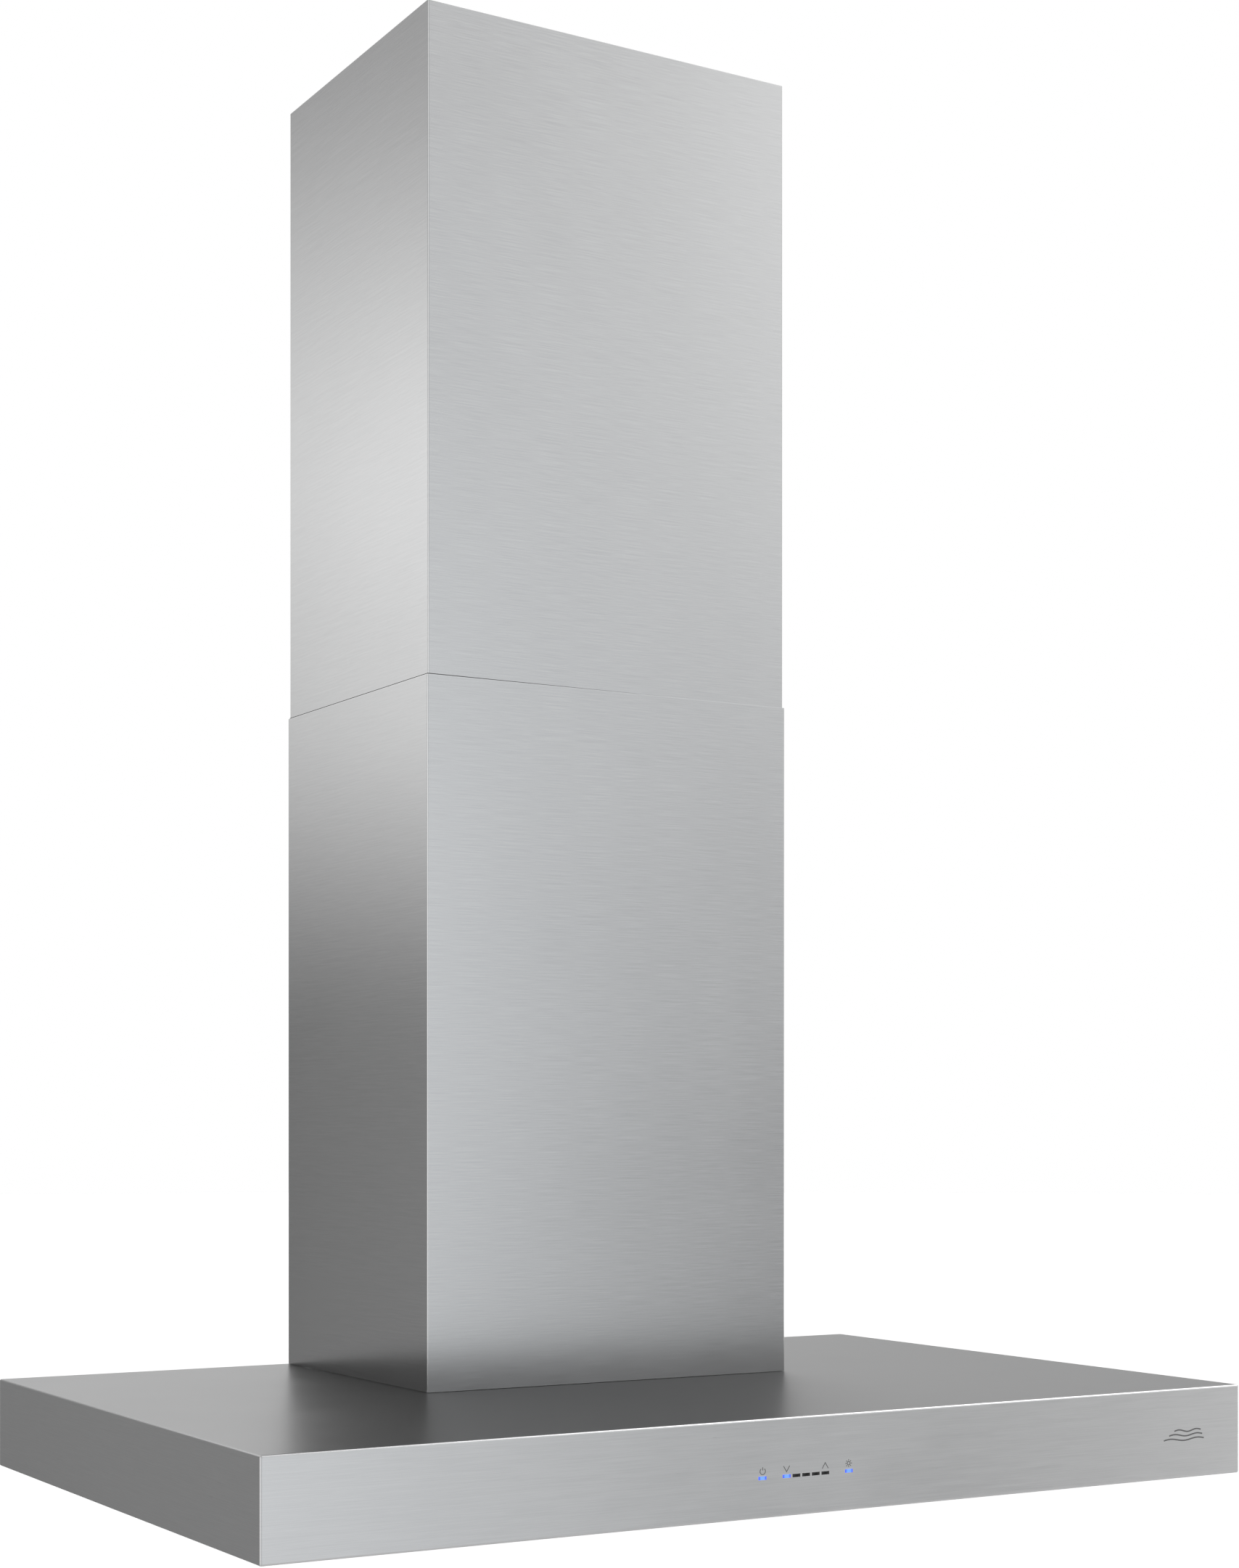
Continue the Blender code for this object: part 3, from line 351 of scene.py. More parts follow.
def galvanised(name):
    """Zinc-coated sheet: a mosaic of dull and bright crystals with a little white bloom."""
    made, n = material(name)
    place = n.add("TexCoord").outputs["Object"]
    wander = n.add("VectorMath", {0: place, 1: (0.004, 0.004, 0.004), 2: place},
                   operation="MULTIPLY_ADD").outputs[0]
    cells = n.add("TexVoronoi", {"Vector": wander, "Scale": 150.0}).outputs["Color"]
    crystal = n.add("SeparateXYZ", {0: cells}).outputs["X"]
    fern = n.noise(n.scaled(place, (700, 700, 160)), 1.0, 3.0, 0.6)
    bloom = n.noise(place, 14.0, 5.0, 0.6)
    edge = worn_edge(n, 0.0008)
    tone = n.math("ADD", n.math("MULTIPLY", crystal, 0.6), n.math("MULTIPLY", fern, 0.4))
    metal = n.blend(tone, grey(0.42, 0.02), grey(0.66, 0.03))
    dusty = n.blend(n.ramp(bloom, 0.5, 0.8, 0.0, 0.5), metal, grey(0.68))
    colour = n.blend(n.math("MULTIPLY", edge, 0.5), dusty, grey(0.85))
    shade(n, {
        "Base Color": colour, "Metallic": 0.9,
        "Roughness": n.ramp(tone, 0.1, 0.9, 0.46, 0.32),
    }, tone, 0.00005, 0.12)
    return made


def cast(name, low, high, rough, scale, bump, metal=0.0, coat=0.0):
    """A plain finish between two colours, with scale grains to the metre: paint, moulded plastic,
    plating or casting skin."""
    made, n = material(name)
    place = n.add("TexCoord").outputs["Object"]
    grain = n.noise(place, scale, 3.0, 0.6)
    cloud = n.noise(place, scale * 0.04, 4.0, 0.6)
    edge = worn_edge(n, 0.0005)
    plain = n.blend(n.ramp(cloud, 0.3, 0.7), low, high)
    tint = n.blend(n.ramp(grain, 0.35, 0.7, 0.0, 0.35), plain, high)
    worn = tuple(min(1.0, c * 1.35 + 0.02) for c in high)
    colour = n.blend(n.math("MULTIPLY", edge, 0.6), tint, worn)
    shade(n, {
        "Base Color": colour, "Metallic": metal,
        "Roughness": n.ramp(grain, 0.2, 0.8, rough - 0.06, rough + 0.08),
        "Coat Weight": coat, "Coat Roughness": 0.2,
    }, grain, 0.00008, bump)
    return made


def frosted_glass(name):
    """A milky cover over a small warm light."""
    made, n = material(name)
    place = n.add("TexCoord").outputs["Object"]
    grain = n.noise(place, 2500.0, 2.0)
    blotch = n.noise(place, 60.0, 3.0)
    colour = n.blend(n.ramp(blotch, 0.3, 0.7), (0.80, 0.81, 0.80), (0.90, 0.90, 0.88))
    shade(n, {
        "Base Color": colour, "Roughness": n.ramp(grain, 0.2, 0.8, 0.22, 0.34), "IOR": 1.5,
        "Subsurface Weight": 0.25, "Subsurface Scale": 0.004,
        "Emission Color": (1.0, 0.93, 0.80, 1.0), "Emission Strength": 0.12,
    }, grain, 0.00003, 0.2)
    return made


def solder_mask(name):
    """Green lacquer over copper tracks and pads."""
    made, n = material(name)
    place = n.add("TexCoord").outputs["Object"]
    bricks = n.add("TexBrick", {
        "Vector": n.add("Mapping", {"Vector": place, "Rotation": (math.pi / 2, 0, 0)}).outputs[0],
        "Scale": 90.0, "Mortar Size": 0.012, "Mortar Smooth": 0.1, "Brick Width": 0.9,
        "Row Height": 0.28, "Color1": WHITE, "Color2": WHITE, "Mortar": BLACK,
    }).outputs["Fac"]
    pads = n.add("TexVoronoi", {"Vector": place, "Scale": 260.0}).outputs["Distance"]
    pad = n.ramp(pads, 0.20, 0.16)
    grain = n.noise(place, 900.0, 2.0)
    mask = n.blend(n.ramp(grain, 0.3, 0.7), (0.008, 0.075, 0.030), (0.012, 0.105, 0.042))
    track = n.blend(n.math("MULTIPLY", bricks, 0.75), mask, (0.05, 0.24, 0.09))
    colour = n.blend(pad, track, (0.72, 0.70, 0.62))
    shade(n, {
        "Base Color": colour, "Roughness": n.ramp(pad, 0, 1, 0.28, 0.42),
        "Metallic": 0.1, "Coat Weight": 0.4, "Coat Roughness": 0.15,
    }, n.math("ADD", pad, bricks), 0.00005, 0.5)
    return made


# What makes each finish, and its settings.
FINISHES = {
    "brushed_steel": (steel, dict(
        rough=0.3, contrast=0.045, bump=0.06, stretch=0.45, spread=ALONG_SHEET)),
    "duct_steel": (steel, dict(rough=0.2, contrast=0.045, bump=0.06)),
    "filter_steel": (steel, dict(
        level=0.70, rough=0.24, along="Y", contrast=0.03, bump=0.03, spread=ACROSS_BAFFLES)),
    "latch_steel": (steel, dict(level=0.66, rough=0.30, fine=2200, contrast=0.08, bump=0.2)),
    "galvanised": (galvanised, {}),
    "damper_metal": (steel, dict(level=0.74, rough=0.38, fine=1500, contrast=0.07, bump=0.2)),
    "fastener_steel": (cast, dict(
        low=(0.52, 0.53, 0.56), high=(0.72, 0.72, 0.70), metal=1.0, rough=0.28, scale=1400.0,
        bump=0.15)),
    "nut_brass": (cast, dict(
        low=(0.55, 0.38, 0.16), high=(0.74, 0.55, 0.25), metal=1.0, rough=0.30, scale=1400.0,
        bump=0.15)),
    "lamp_trim": (steel, dict(level=0.74, rough=0.2, fine=3000, contrast=0.04)),
    "lamp_glass": (frosted_glass, {}),
    "lamp_body": (cast, dict(
        low=(0.34, 0.35, 0.36), high=(0.46, 0.47, 0.48), metal=0.8, rough=0.48, scale=1100.0,
        bump=0.4)),
    "light_guide": (cast, dict(
        low=(0.62, 0.66, 0.70), high=(0.78, 0.82, 0.86), rough=0.22, scale=900.0, bump=0.05,
        coat=0.5)),
    "circuit_board": (solder_mask, {}),
    "black_plastic": (cast, dict(
        low=(0.014, 0.014, 0.015), high=(0.028, 0.028, 0.030), rough=0.42, scale=2300.0,
        bump=0.35)),
    "capacitor_case": (cast, dict(
        low=(0.66, 0.67, 0.66), high=(0.78, 0.78, 0.76), rough=0.36, scale=1600.0, bump=0.12,
        coat=0.2)),
    "motor_paint": (cast, dict(
        low=(0.045, 0.050, 0.056), high=(0.075, 0.080, 0.088), metal=0.2, rough=0.38,
        scale=800.0, bump=0.35, coat=0.3)),
    "wire_white": (cast, dict(
        low=(0.70, 0.70, 0.67), high=(0.82, 0.82, 0.79), rough=0.42, scale=1200.0, bump=0.15)),
    "wire_grey": (cast, dict(
        low=(0.24, 0.25, 0.26), high=(0.34, 0.35, 0.36), rough=0.42, scale=1200.0, bump=0.15)),
    "wire_black": (cast, dict(
        low=(0.015, 0.015, 0.016), high=(0.035, 0.035, 0.036), rough=0.42, scale=1200.0,
        bump=0.15)),
}


def finish_nodes():
    """Paints every CAD node with the finish that its slot in the record names. The duct covers'
    sheet is smoother than the canopy's."""
    for part in frame["record"]["subparts"]:
        paint(part["node"], FINISH[part["material_slot"]])
    for cover in ("lower_duct_cover", "upper_duct_cover"):
        paint(cover, FINISH["duct_steel"])


def paint(node, made):
    """Gives a CAD node this material and no other."""
    slots = frame["nodes"][node].data.materials
    slots.clear()
    slots.append(made)


# --- Mesh tools, in millimetres ----------------------------------------------------------------


def piece(name, bm, finish, body="hood", instead_of=(), slot=None, crease=35):
    """Makes a piece of the object out of a mesh in millimetres, which it uses up. finish is a
    material, or the name of a finish, whose material the piece then takes."""
    bmesh.ops.recalc_face_normals(bm, faces=bm.faces)
    bmesh.ops.scale(bm, vec=(MM, MM, MM), verts=bm.verts)
    mesh = bpy.data.meshes.new(name)
    bm.to_mesh(mesh)
    bm.free()
    mesh.shade_smooth()
    mesh.set_sharp_from_angle(angle=math.radians(crease))
    if finish in FINISHES:
        slot, finish = finish, FINISH[finish]
    mesh.materials.append(finish)
    made = bpy.data.objects.new(name, mesh)
    SCENE.collection.objects.link(made)
    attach(made, body)
    if instead_of:
        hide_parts(*instead_of)


def skin_rings(bm, rings, closed=False, capped=False):
    """Faces between rings of vertices, where a ring of one vertex is a point."""
    pairs = list(zip(rings, rings[1:] + rings[:1]))
    for low, high in pairs if closed else pairs[:-1]:
        count = max(len(low), len(high))
        for k in range(count):
            j = (k + 1) % count
            loop = (low[k % len(low)], low[j % len(low)], high[j % len(high)], high[k % len(high)])
            corners = list(dict.fromkeys(loop))
            if len(corners) > 2:
                bm.faces.new(corners)
    if capped:
        bm.faces.new(rings[0])
        bm.faces.new(rings[-1])


def placed(at, axis):
    """The matrix that sets something built up +Z at a point, along an axis."""
    turn = Vector(UP).rotation_difference(Vector(axis)).to_matrix().to_4x4()
    return Matrix.Translation(at) @ turn


def lathe(bm, profile, at=(0, 0, 0), axis=UP, steps=40, closed=False):
    """Turns a profile of (radius, height) points about an axis."""
    place = placed(at, axis)
    rings = []
    for radius, height in profile:
        turns = [2 * math.pi * k / steps for k in range(steps if radius else 1)]
        rings.append([
            bm.verts.new(place @ Vector((radius * math.cos(t), radius * math.sin(t), height)))
            for t in turns
        ])
    skin_rings(bm, rings, closed)


def rounded_box(bm, x, y, z, radius, segments=2):
    """A box over three (low, high) ranges, its edges rounded."""
    verts = bmesh.ops.create_cube(bm, size=1.0)["verts"]
    bmesh.ops.scale(bm, vec=[high - low for low, high in (x, y, z)], verts=verts)
    middle = [(low + high) / 2 for low, high in (x, y, z)]
    bmesh.ops.translate(bm, vec=middle, verts=verts)
    edges = list({edge for vert in verts for edge in vert.link_edges})
    bmesh.ops.bevel(bm, geom=edges, offset=radius, segments=segments, profile=0.5,
                    affect="EDGES")


def solid(bm, outline, low, high, at=(0, 0, 0), axis=UP, edge=0.0):
    """An outline of (x, y) points between two heights, its two rims bevelled by edge."""
    place = placed(at, axis)
    reach = max(math.hypot(x, y) for x, y in outline)
    levels = [(low, 0)] if not edge else [(low, edge), (low + edge, 0)]
    levels += [(high, 0)] if not edge else [(high - edge, 0), (high, edge)]
    rings = []
    for height, inset in levels:
        k = 1 - inset / reach
        rings.append([bm.verts.new(place @ Vector((x * k, y * k, height))) for x, y in outline])
    skin_rings(bm, rings, capped=True)


def around(count, radius, x=0.0, y=0.0):
    """Points evenly round a circle about (x, y)."""
    angles = [2 * math.pi * k / count for k in range(count)]
    return [(x + radius * math.cos(a), y + radius * math.sin(a)) for a in angles]


def stroke(bm, points, width, closed=False):
    """A thin raised line on the canopy's front, through (x, z) points."""
    spots = [Vector(point) for point in points]
    count = len(spots)
    rings = []
    for i, spot in enumerate(spots):
        before = spots[i - 1] if closed or i else None
        after = spots[(i + 1) % count] if closed or i < count - 1 else None
        ways = [(b - a).normalized() for a, b in ((before, spot), (spot, after))
                if a is not None and b is not None]
        normals = [Vector((-way.y, way.x)) for way in ways]
        side = sum(normals, Vector((0, 0)))
        side *= width / 2 / side.dot(normals[0])
        rings.append([
            bm.verts.new((spot.x + k * side.x, y, spot.y + k * side.y))
            for k, y in ((1, INK_FRONT), (-1, INK_FRONT), (-1, INK_BACK), (1, INK_BACK))
        ])
    skin_rings(bm, rings, closed, capped=not closed)


def arc(x, z, radius, start, end, steps=28):
    """Points along an arc, from one angle to another in degrees."""
    angles = [math.radians(start + (end - start) * i / steps) for i in range(steps + 1)]
    return [(x + radius * math.cos(a), z + radius * math.sin(a)) for a in angles]


def cut(body, tool):
    """The first mesh less the second."""
    objects = []
    for bm in (body, tool):
        bmesh.ops.recalc_face_normals(bm, faces=bm.faces)
        mesh = bpy.data.meshes.new("cutting")
        bm.to_mesh(mesh)
        bm.free()
        objects.append(bpy.data.objects.new("cutting", mesh))
        SCENE.collection.objects.link(objects[-1])
    boolean = objects[0].modifiers.new("cut", "BOOLEAN")
    boolean.operation, boolean.object, boolean.solver = "DIFFERENCE", objects[1], "EXACT"
    boolean.use_self = True
    bpy.context.view_layer.update()
    left = bmesh.new()
    left.from_object(objects[0], bpy.context.evaluated_depsgraph_get())
    for made in objects:
        mesh = made.data
        bpy.data.objects.remove(made)
        bpy.data.meshes.remove(mesh)
    return left


def add_copy(bm, mesh, place):
    """Adds a mesh to bm at the place that a matrix gives."""
    before = len(bm.verts)
    bm.from_mesh(mesh)
    bm.verts.ensure_lookup_table()
    bmesh.ops.transform(bm, matrix=place, verts=bm.verts[before:])


# --- Controls ----------------------------------------------------------------------------------

FRONT = -250.0  # the canopy's front face
INK_FRONT, INK_BACK = FRONT - 0.05, FRONT + 0.05

WINDOW_Z = 25.9
LIT_WINDOWS = (-34.0, -15.2, 34.0)
DARK_WINDOWS = (-7.6, 0.0, 7.6, 15.2)
LENS_HALF_W, LENS_HALF_H, LENS_CORNER = 3.02, 1.02, 0.18
LENS_Y = (FRONT - 0.08, FRONT + 1.2)

STRIP_X, STRIP_Y, STRIP_Z, STRIP_EDGE = (-40, 40), (-248.6, -246.7), (22.9, 28.9), 0.5
NUB_HALF_W, NUB_HALF_H, NUB_EDGE = 2.6, 0.7, 0.2  # the strip's nubs, behind the windows
NUB_Y = (-249.3, -248.0)

SIGN_Z, SIGN_LINE = 30.7, 0.52
POWER_X, LESS_X, MORE_X, LIGHT_X = -33.8, -15.3, 15.1, 33.8
POWER_R, POWER_ARC, POWER_BAR = 2.05, (130, 410), (0.2, 2.3)
CHEVRON_HALF_W, CHEVRON_HALF_H = 2.4, 1.9
SUN_R, RAY_FROM, RAY_TO, RAYS = 1.15, 1.75, 2.6, 8

WAVE_LEFT, WAVE_RIGHT, WAVE_Z = 308.0, 346.0, 27.6  # the mark's lowest wave
WAVE_ROWS, WAVE_PITCH = 3, 3.1
WAVE_SHIFT_LEFT, WAVE_SHIFT_RIGHT = 5.0, -1.5  # how far each wave's ends move from the last one's
WAVE_HEIGHT, WAVE_LINE, WAVE_STEPS = 0.75, 1.0, 36


def ink():
    """Grey print, a little uneven where the ink is thin."""
    made, n = material("print_grey")
    place = n.add("TexCoord").outputs["Object"]
    speckle = n.noise(place, 4000.0, 3.0, 0.7)
    colour = n.blend(n.ramp(speckle, 0.35, 0.7), grey(0.085), grey(0.15))
    shade(n, {"Base Color": colour, "Roughness": n.ramp(speckle, 0.2, 0.8, 0.35, 0.55)},
          speckle, 0.00002, 0.2)
    return made


def window(name, core, rim, strength):
    """A small window that is palest in its middle."""
    made, n = material(name)
    place = n.add("SeparateXYZ", {0: n.add("TexCoord").outputs["Generated"]})
    sides = n.math("ABSOLUTE", n.math("SUBTRACT", place.outputs["X"], 0.5))
    grain = n.noise(n.add("TexCoord").outputs["Object"], 3000.0, 2.0)
    edge = n.math("ADD", n.ramp(sides, 0.16, 0.5), n.math("MULTIPLY", grain, 0.1))
    colour = n.blend(edge, core, rim)
    values = {"Base Color": colour, "Roughness": n.ramp(grain, 0.2, 0.8, 0.12, 0.2), "IOR": 1.5}
    if strength:
        values |= {"Emission Color": colour, "Emission Strength": strength}
    shade(n, values, grain, 0.00001, 0.1)
    return made


def make_windows():
    """Seven lenses in the canopy's front, and the clear strip that lights them from behind."""
    lit = window("lit_window", (0.12, 0.27, 1.0), (0.03, 0.07, 0.85), 0.8)
    dark = window("dark_window", grey(0.0015), grey(0.004), 0)
    strip = bmesh.new()
    rounded_box(strip, STRIP_X, STRIP_Y, STRIP_Z, STRIP_EDGE)
    for count, x in enumerate(sorted(LIT_WINDOWS + DARK_WINDOWS), 1):
        rounded_box(strip, (x - NUB_HALF_W, x + NUB_HALF_W), NUB_Y,
                    (WINDOW_Z - NUB_HALF_H, WINDOW_Z + NUB_HALF_H), NUB_EDGE)
        lens = bmesh.new()
        rounded_box(lens, (x - LENS_HALF_W, x + LENS_HALF_W), LENS_Y,
                    (WINDOW_Z - LENS_HALF_H, WINDOW_Z + LENS_HALF_H), LENS_CORNER, 3)
        piece(f"window_lens_{count}", lens, lit if x in LIT_WINDOWS else dark,
              slot="light_guide")
    piece("light_strip", strip, "light_guide", instead_of=["light_guide"])


def make_power_sign(bm):
    """A ring open at the top, with a bar in its gap."""
    stroke(bm, arc(POWER_X, SIGN_Z - 0.4, POWER_R, *POWER_ARC), SIGN_LINE)
    stroke(bm, [(POWER_X, SIGN_Z + z) for z in POWER_BAR], SIGN_LINE)


def make_chevron(bm, x, way):
    """Two strokes that meet at the top where way is 1, and at the foot where it is -1."""
    low, high = SIGN_Z - CHEVRON_HALF_H * way, SIGN_Z + CHEVRON_HALF_H * way
    stroke(bm, [(x - CHEVRON_HALF_W, low), (x, high), (x + CHEVRON_HALF_W, low)], SIGN_LINE)


def make_light_sign(bm):
    """A small ring with rays round it."""
    x, z = LIGHT_X, SIGN_Z + 0.2
    stroke(bm, around(24, SUN_R, x, z), SIGN_LINE, closed=True)
    for ray in zip(around(RAYS, RAY_FROM, x, z), around(RAYS, RAY_TO, x, z)):
        stroke(bm, ray, SIGN_LINE)


def make_airflow_mark(bm):
    """Three waves, each shorter than the one below."""
    for row in range(WAVE_ROWS):
        left, right = WAVE_LEFT + WAVE_SHIFT_LEFT * row, WAVE_RIGHT + WAVE_SHIFT_RIGHT * row
        points = []
        for i in range(WAVE_STEPS + 1):
            t = i / WAVE_STEPS
            z = WAVE_Z + WAVE_PITCH * row + WAVE_HEIGHT * math.sin(3 * math.pi * t)
            points.append((left + (right - left) * t, z))
        stroke(bm, points, WAVE_LINE)


def make_print():
    """The printed signs over the windows, and a plain mark at the canopy's right end."""
    grey_ink = ink()
    for name, draw, settings in (
        ("print_power", make_power_sign, ()),
        ("print_less", make_chevron, (LESS_X, -1)),
        ("print_more", make_chevron, (MORE_X, 1)),
        ("print_light", make_light_sign, ()),
        ("print_airflow_mark", make_airflow_mark, ()),
    ):
        bm = bmesh.new()
        draw(bm, *settings)
        piece(name, bm, grey_ink)


# --- Fasteners ---------------------------------------------------------------------------------

SCREW_LENGTH, SHANK_R, THREAD_PITCH = 6.8, 1.8, 0.9
HEAD_R, HEAD_H, HEAD_RIM = 3.2, 2.3, 0.35
CROSS_REACH, CROSS_HALF_W, CROSS_DEPTH = 1.9, 0.36, 1.3
SMALL, FLATTENED = 0.8, 0.8  # the size of the smaller screws, and the height of the panel's
HEAD_TURN, PANEL_HEAD_TURN = 0.6, 0.8  # radians from one screw's head to the next one's

# Where the screws' heads sit. The right one is given where the left one mirrors it.
BOX_SCREWS = [(x, y, 65.6) for x in (-141, 141) for y in (30, 215)]
CLIP_SCREW, BRACKET_SCREW = (138.1, 125, 96), (141, 243.6, 1007.5)
PANEL_SCREWS = [(x, y, 12.0) for x in (-352, 352) for y in (-224, 20, 222)]
PANEL_SCREWS += [(x, -224, 12.0) for x in (-60, 60)]
LID_SCREWS = [(97, 178, 403.6), (129, 230, 403.6)]

RIVET_R, RIVET_H = 2.4, 1.0
RIVET = ((0, RIVET_H), (1.1, 0.92), (1.9, 0.62), (RIVET_R, 0.1), (RIVET_R, -0.3), (0, -0.3))


def screw_mesh():
    """A pan-head screw with a cross recess, its head's seat at 0 and its head up +Z."""
    root = SHANK_R * 0.8
    profile = [(0, -SCREW_LENGTH), (SHANK_R * 0.5, -SCREW_LENGTH + 0.2)]
    for i in range(int((SCREW_LENGTH - 1.5) / THREAD_PITCH)):
        z = -SCREW_LENGTH + 1.0 + i * THREAD_PITCH
        profile += [(root, z), (SHANK_R, z + THREAD_PITCH / 2)]
    profile += [(root, -0.3), (SHANK_R, 0), (HEAD_R * 0.97, 0), (HEAD_R, 0.25)]
    for angle in map(math.radians, (10, 28, 46, 62, 76)):
        rise = (HEAD_H - HEAD_RIM) * math.sin(angle)
        profile.append((HEAD_R * math.cos(angle), HEAD_RIM + rise))
    body = bmesh.new()
    lathe(body, profile + [(0, HEAD_H)], steps=28)
    cross = bmesh.new()
    for x, y in ((CROSS_REACH, CROSS_HALF_W), (CROSS_HALF_W, CROSS_REACH)):
        rounded_box(cross, (-x, x), (-y, y), (HEAD_H - CROSS_DEPTH, HEAD_H + 1), 0.1, 1)
    done = cut(body, cross)
    mesh = bpy.data.meshes.new("screw")
    done.to_mesh(mesh)
    done.free()
    return mesh


def mirrored(spot, way):
    """The spot itself where way is 1, and its mirror image on the left where it is -1."""
    x, y, z = spot
    return (way * x, y, z)


def make_screws():
    """Each screw's head is turned a little differently, as screws end up."""
    screw = screw_mesh()
    small = Matrix.Scale(SMALL, 4)
    seats = [(f"box_screw_{i}", "hood", at, UP) for i, at in enumerate(BOX_SCREWS, 1)]
    for side, way in SIDES:
        seats += [
            (f"clip_screw_{side}", "hood", mirrored(CLIP_SCREW, way), (way, 0, 0)),
            (f"bracket_screw_{side}", "upper_cover", mirrored(BRACKET_SCREW, way), FORWARD),
        ]
    for count, (name, body, at, axis) in enumerate(seats):
        bm = bmesh.new()
        size = small if body == "upper_cover" else Matrix.Identity(4)
        turn = Matrix.Rotation(HEAD_TURN * count, 4, "Z")
        add_copy(bm, screw, placed(at, axis) @ turn @ size)
        piece(f"{name}_pan_head", bm, "fastener_steel", body, [name])
    panel = bmesh.new()
    size = Matrix.Diagonal((1, 1, FLATTENED, 1))
    for count, at in enumerate(PANEL_SCREWS):
        turn = Matrix.Rotation(PANEL_HEAD_TURN * count, 4, "Z")
        add_copy(panel, screw, placed(at, DOWN) @ turn @ size)
    piece("panel_screws", panel, "fastener_steel")
    lid = bmesh.new()
    for at in LID_SCREWS:
        add_copy(lid, screw, placed(at, UP) @ small)
    piece("lid_screws", lid, "fastener_steel")


def rivets(name, spots, axis, finish, body="hood"):
    """Domed rivets whose heads stand on these spots."""
    bm = bmesh.new()
    for at in spots:
        lathe(bm, RIVET, at, axis, 20)
    piece(name, bm, finish, body)


# --- Underside ---------------------------------------------------------------------------------

LAMP_X, LAMP_Y = 235, -195
# The trim ring's section: (radius, height) round its sloping face, its flange and its neck.
RIM = (
    (29.0, 11.0), (29.3, 10.6), (30.0, 10.45), (33.2, 10.45), (34.3, 10.75), (34.9, 11.2),
    (35.0, 11.7), (31.0, 11.7), (31.0, 21.7), (30.0, 21.7), (30.0, 11.7), (28.8, 11.7),
)
COVER_R, COVER_Z, COVER_BACK = 29.4, 12.25, 14.3
COVER_WAVES, COVER_WAVE, COVER_DISH = 56, 0.16, 0.5
# On the right-hand filter, which the left one mirrors.
FILTER_RIVETS = [(x, y, 12.25) for x in (9, 317) for y in (-138, 192)]
FILTER_RIVETS += [(x, -129, 12.25) for x in (137, 189)]


def lamp_cover_profile():
    """A shallow dish with fine concentric waves."""
    profile = [(0.0, COVER_Z - 0.05)]
    for i in range(1, COVER_WAVES):
        share = i / COVER_WAVES
        wave = COVER_WAVE * (-1) ** i
        profile.append((COVER_R * share, COVER_Z + COVER_DISH * share**2 + wave))
    rim = COVER_R + 0.2
    return profile + [(rim, 12.9), (rim, COVER_BACK), (0, COVER_BACK)]


def make_lamps():
    """Each lamp's trim ring and milky cover."""
    for side, way in SIDES:
        at = (way * LAMP_X, LAMP_Y, 0)
        ring = bmesh.new()
        lathe(ring, RIM, at, steps=96, closed=True)
        piece(f"lamp_rim_{side}", ring, "lamp_trim", instead_of=[f"lamp_ring_{side}"])
        cover = bmesh.new()
        lathe(cover, lamp_cover_profile(), at, steps=96)
        piece(f"lamp_cover_{side}", cover, "lamp_glass", instead_of=[f"lamp_lens_{side}"])


def make_filter_details():
    """Rivets at each filter's corners and beside its latch."""
    for side, way in SIDES:
        spots = [mirrored(spot, way) for spot in FILTER_RIVETS]
        rivets(f"filter_rivets_{side}", spots, DOWN, "filter_steel", f"filter_{side}")


# --- Behind the covers -------------------------------------------------------------------------

JOINT_Z = 570.0  # the lower cover's top
# The dark felt strip that paints the shade in the gap of the joint between the covers.
GAP_SHADE_Z, GAP_SHADE_EDGE = (567.0, 570.7), 0.12
GAP_SHADE_SIDE_X, GAP_SHADE_SIDE_HALF, GAP_SHADE_SIDE_Y = 150.45, 0.28, (0.6, 246.0)
GAP_SHADE_FRONT_HALF_W, GAP_SHADE_FRONT_Y = 150.6, (0.32, 0.95)
SINK_FROM_X, SINK = -150, 0.003  # how far the front run's top sinks per millimetre to the right

BOX_BACK = 241.0  # the blower box's rear face
RIB_Z, RIB_HALF_L, RIB_HALF_H = (110, 160, 210, 255), 104, 5
RIB_Y, RIB_EDGE = (BOX_BACK - 0.6, BOX_BACK + 1.6), 1.3
BOX_RIVETS = [(x, BOX_BACK, z) for x in (-128, 128) for z in (84, 150, 216, 345)]
COLLAR_AT, COLLAR_R = (0, 124, 0), 74.4
BEAD_Z, BEAD_R = (376, 416), 1.5
KNOCKOUTS = (((113, 236, 383), BACK), ((92, 204, 383), LEFT))
KNOCKOUT_R, KNOCKOUT_LINE = (7.0, 10.0), 0.5

WHEEL = (0, 124, 188)
WHEEL_R, ROOT_R, WHEEL_HALF, RING_FROM = 84.0, 68.0, 64.0, 60.0
WHEEL_STEPS, RING_EDGE, BLADE_INSET = 72, 0.5, 0.2
BLADES, BLADE_THICK, BLADE_LEAN, BLADE_STEPS = 40, 1.1, 0.17, 6
HUB = (
    (4.4, -9), (11.5, -9), (12, -8.5), (12, -1.5), (83, -1.5), (83, 1.5), (12, 1.5), (12, 8.5),
    (11.5, 9), (4.4, 9),
)

GLAND_AT = (113, 208, 0)
GLAND_FOOT_R, GLAND_CAP_R, GLAND_GROOVE_R, GLAND_RIBS = 9.8, 8.8, 8.1, 24
GLAND_LOW, GLAND_MIDDLE, GLAND_HIGH = 403.7, 408.0, 416.0
GLAND_SEAL = (
    (0, 415.5), (7.6, 415.9), (7.4, 418.0), (6.4, 420.2), (5.0, 421.4), (3.6, 421.7),
    (3.3, 420.8), (0, 420.6),
)


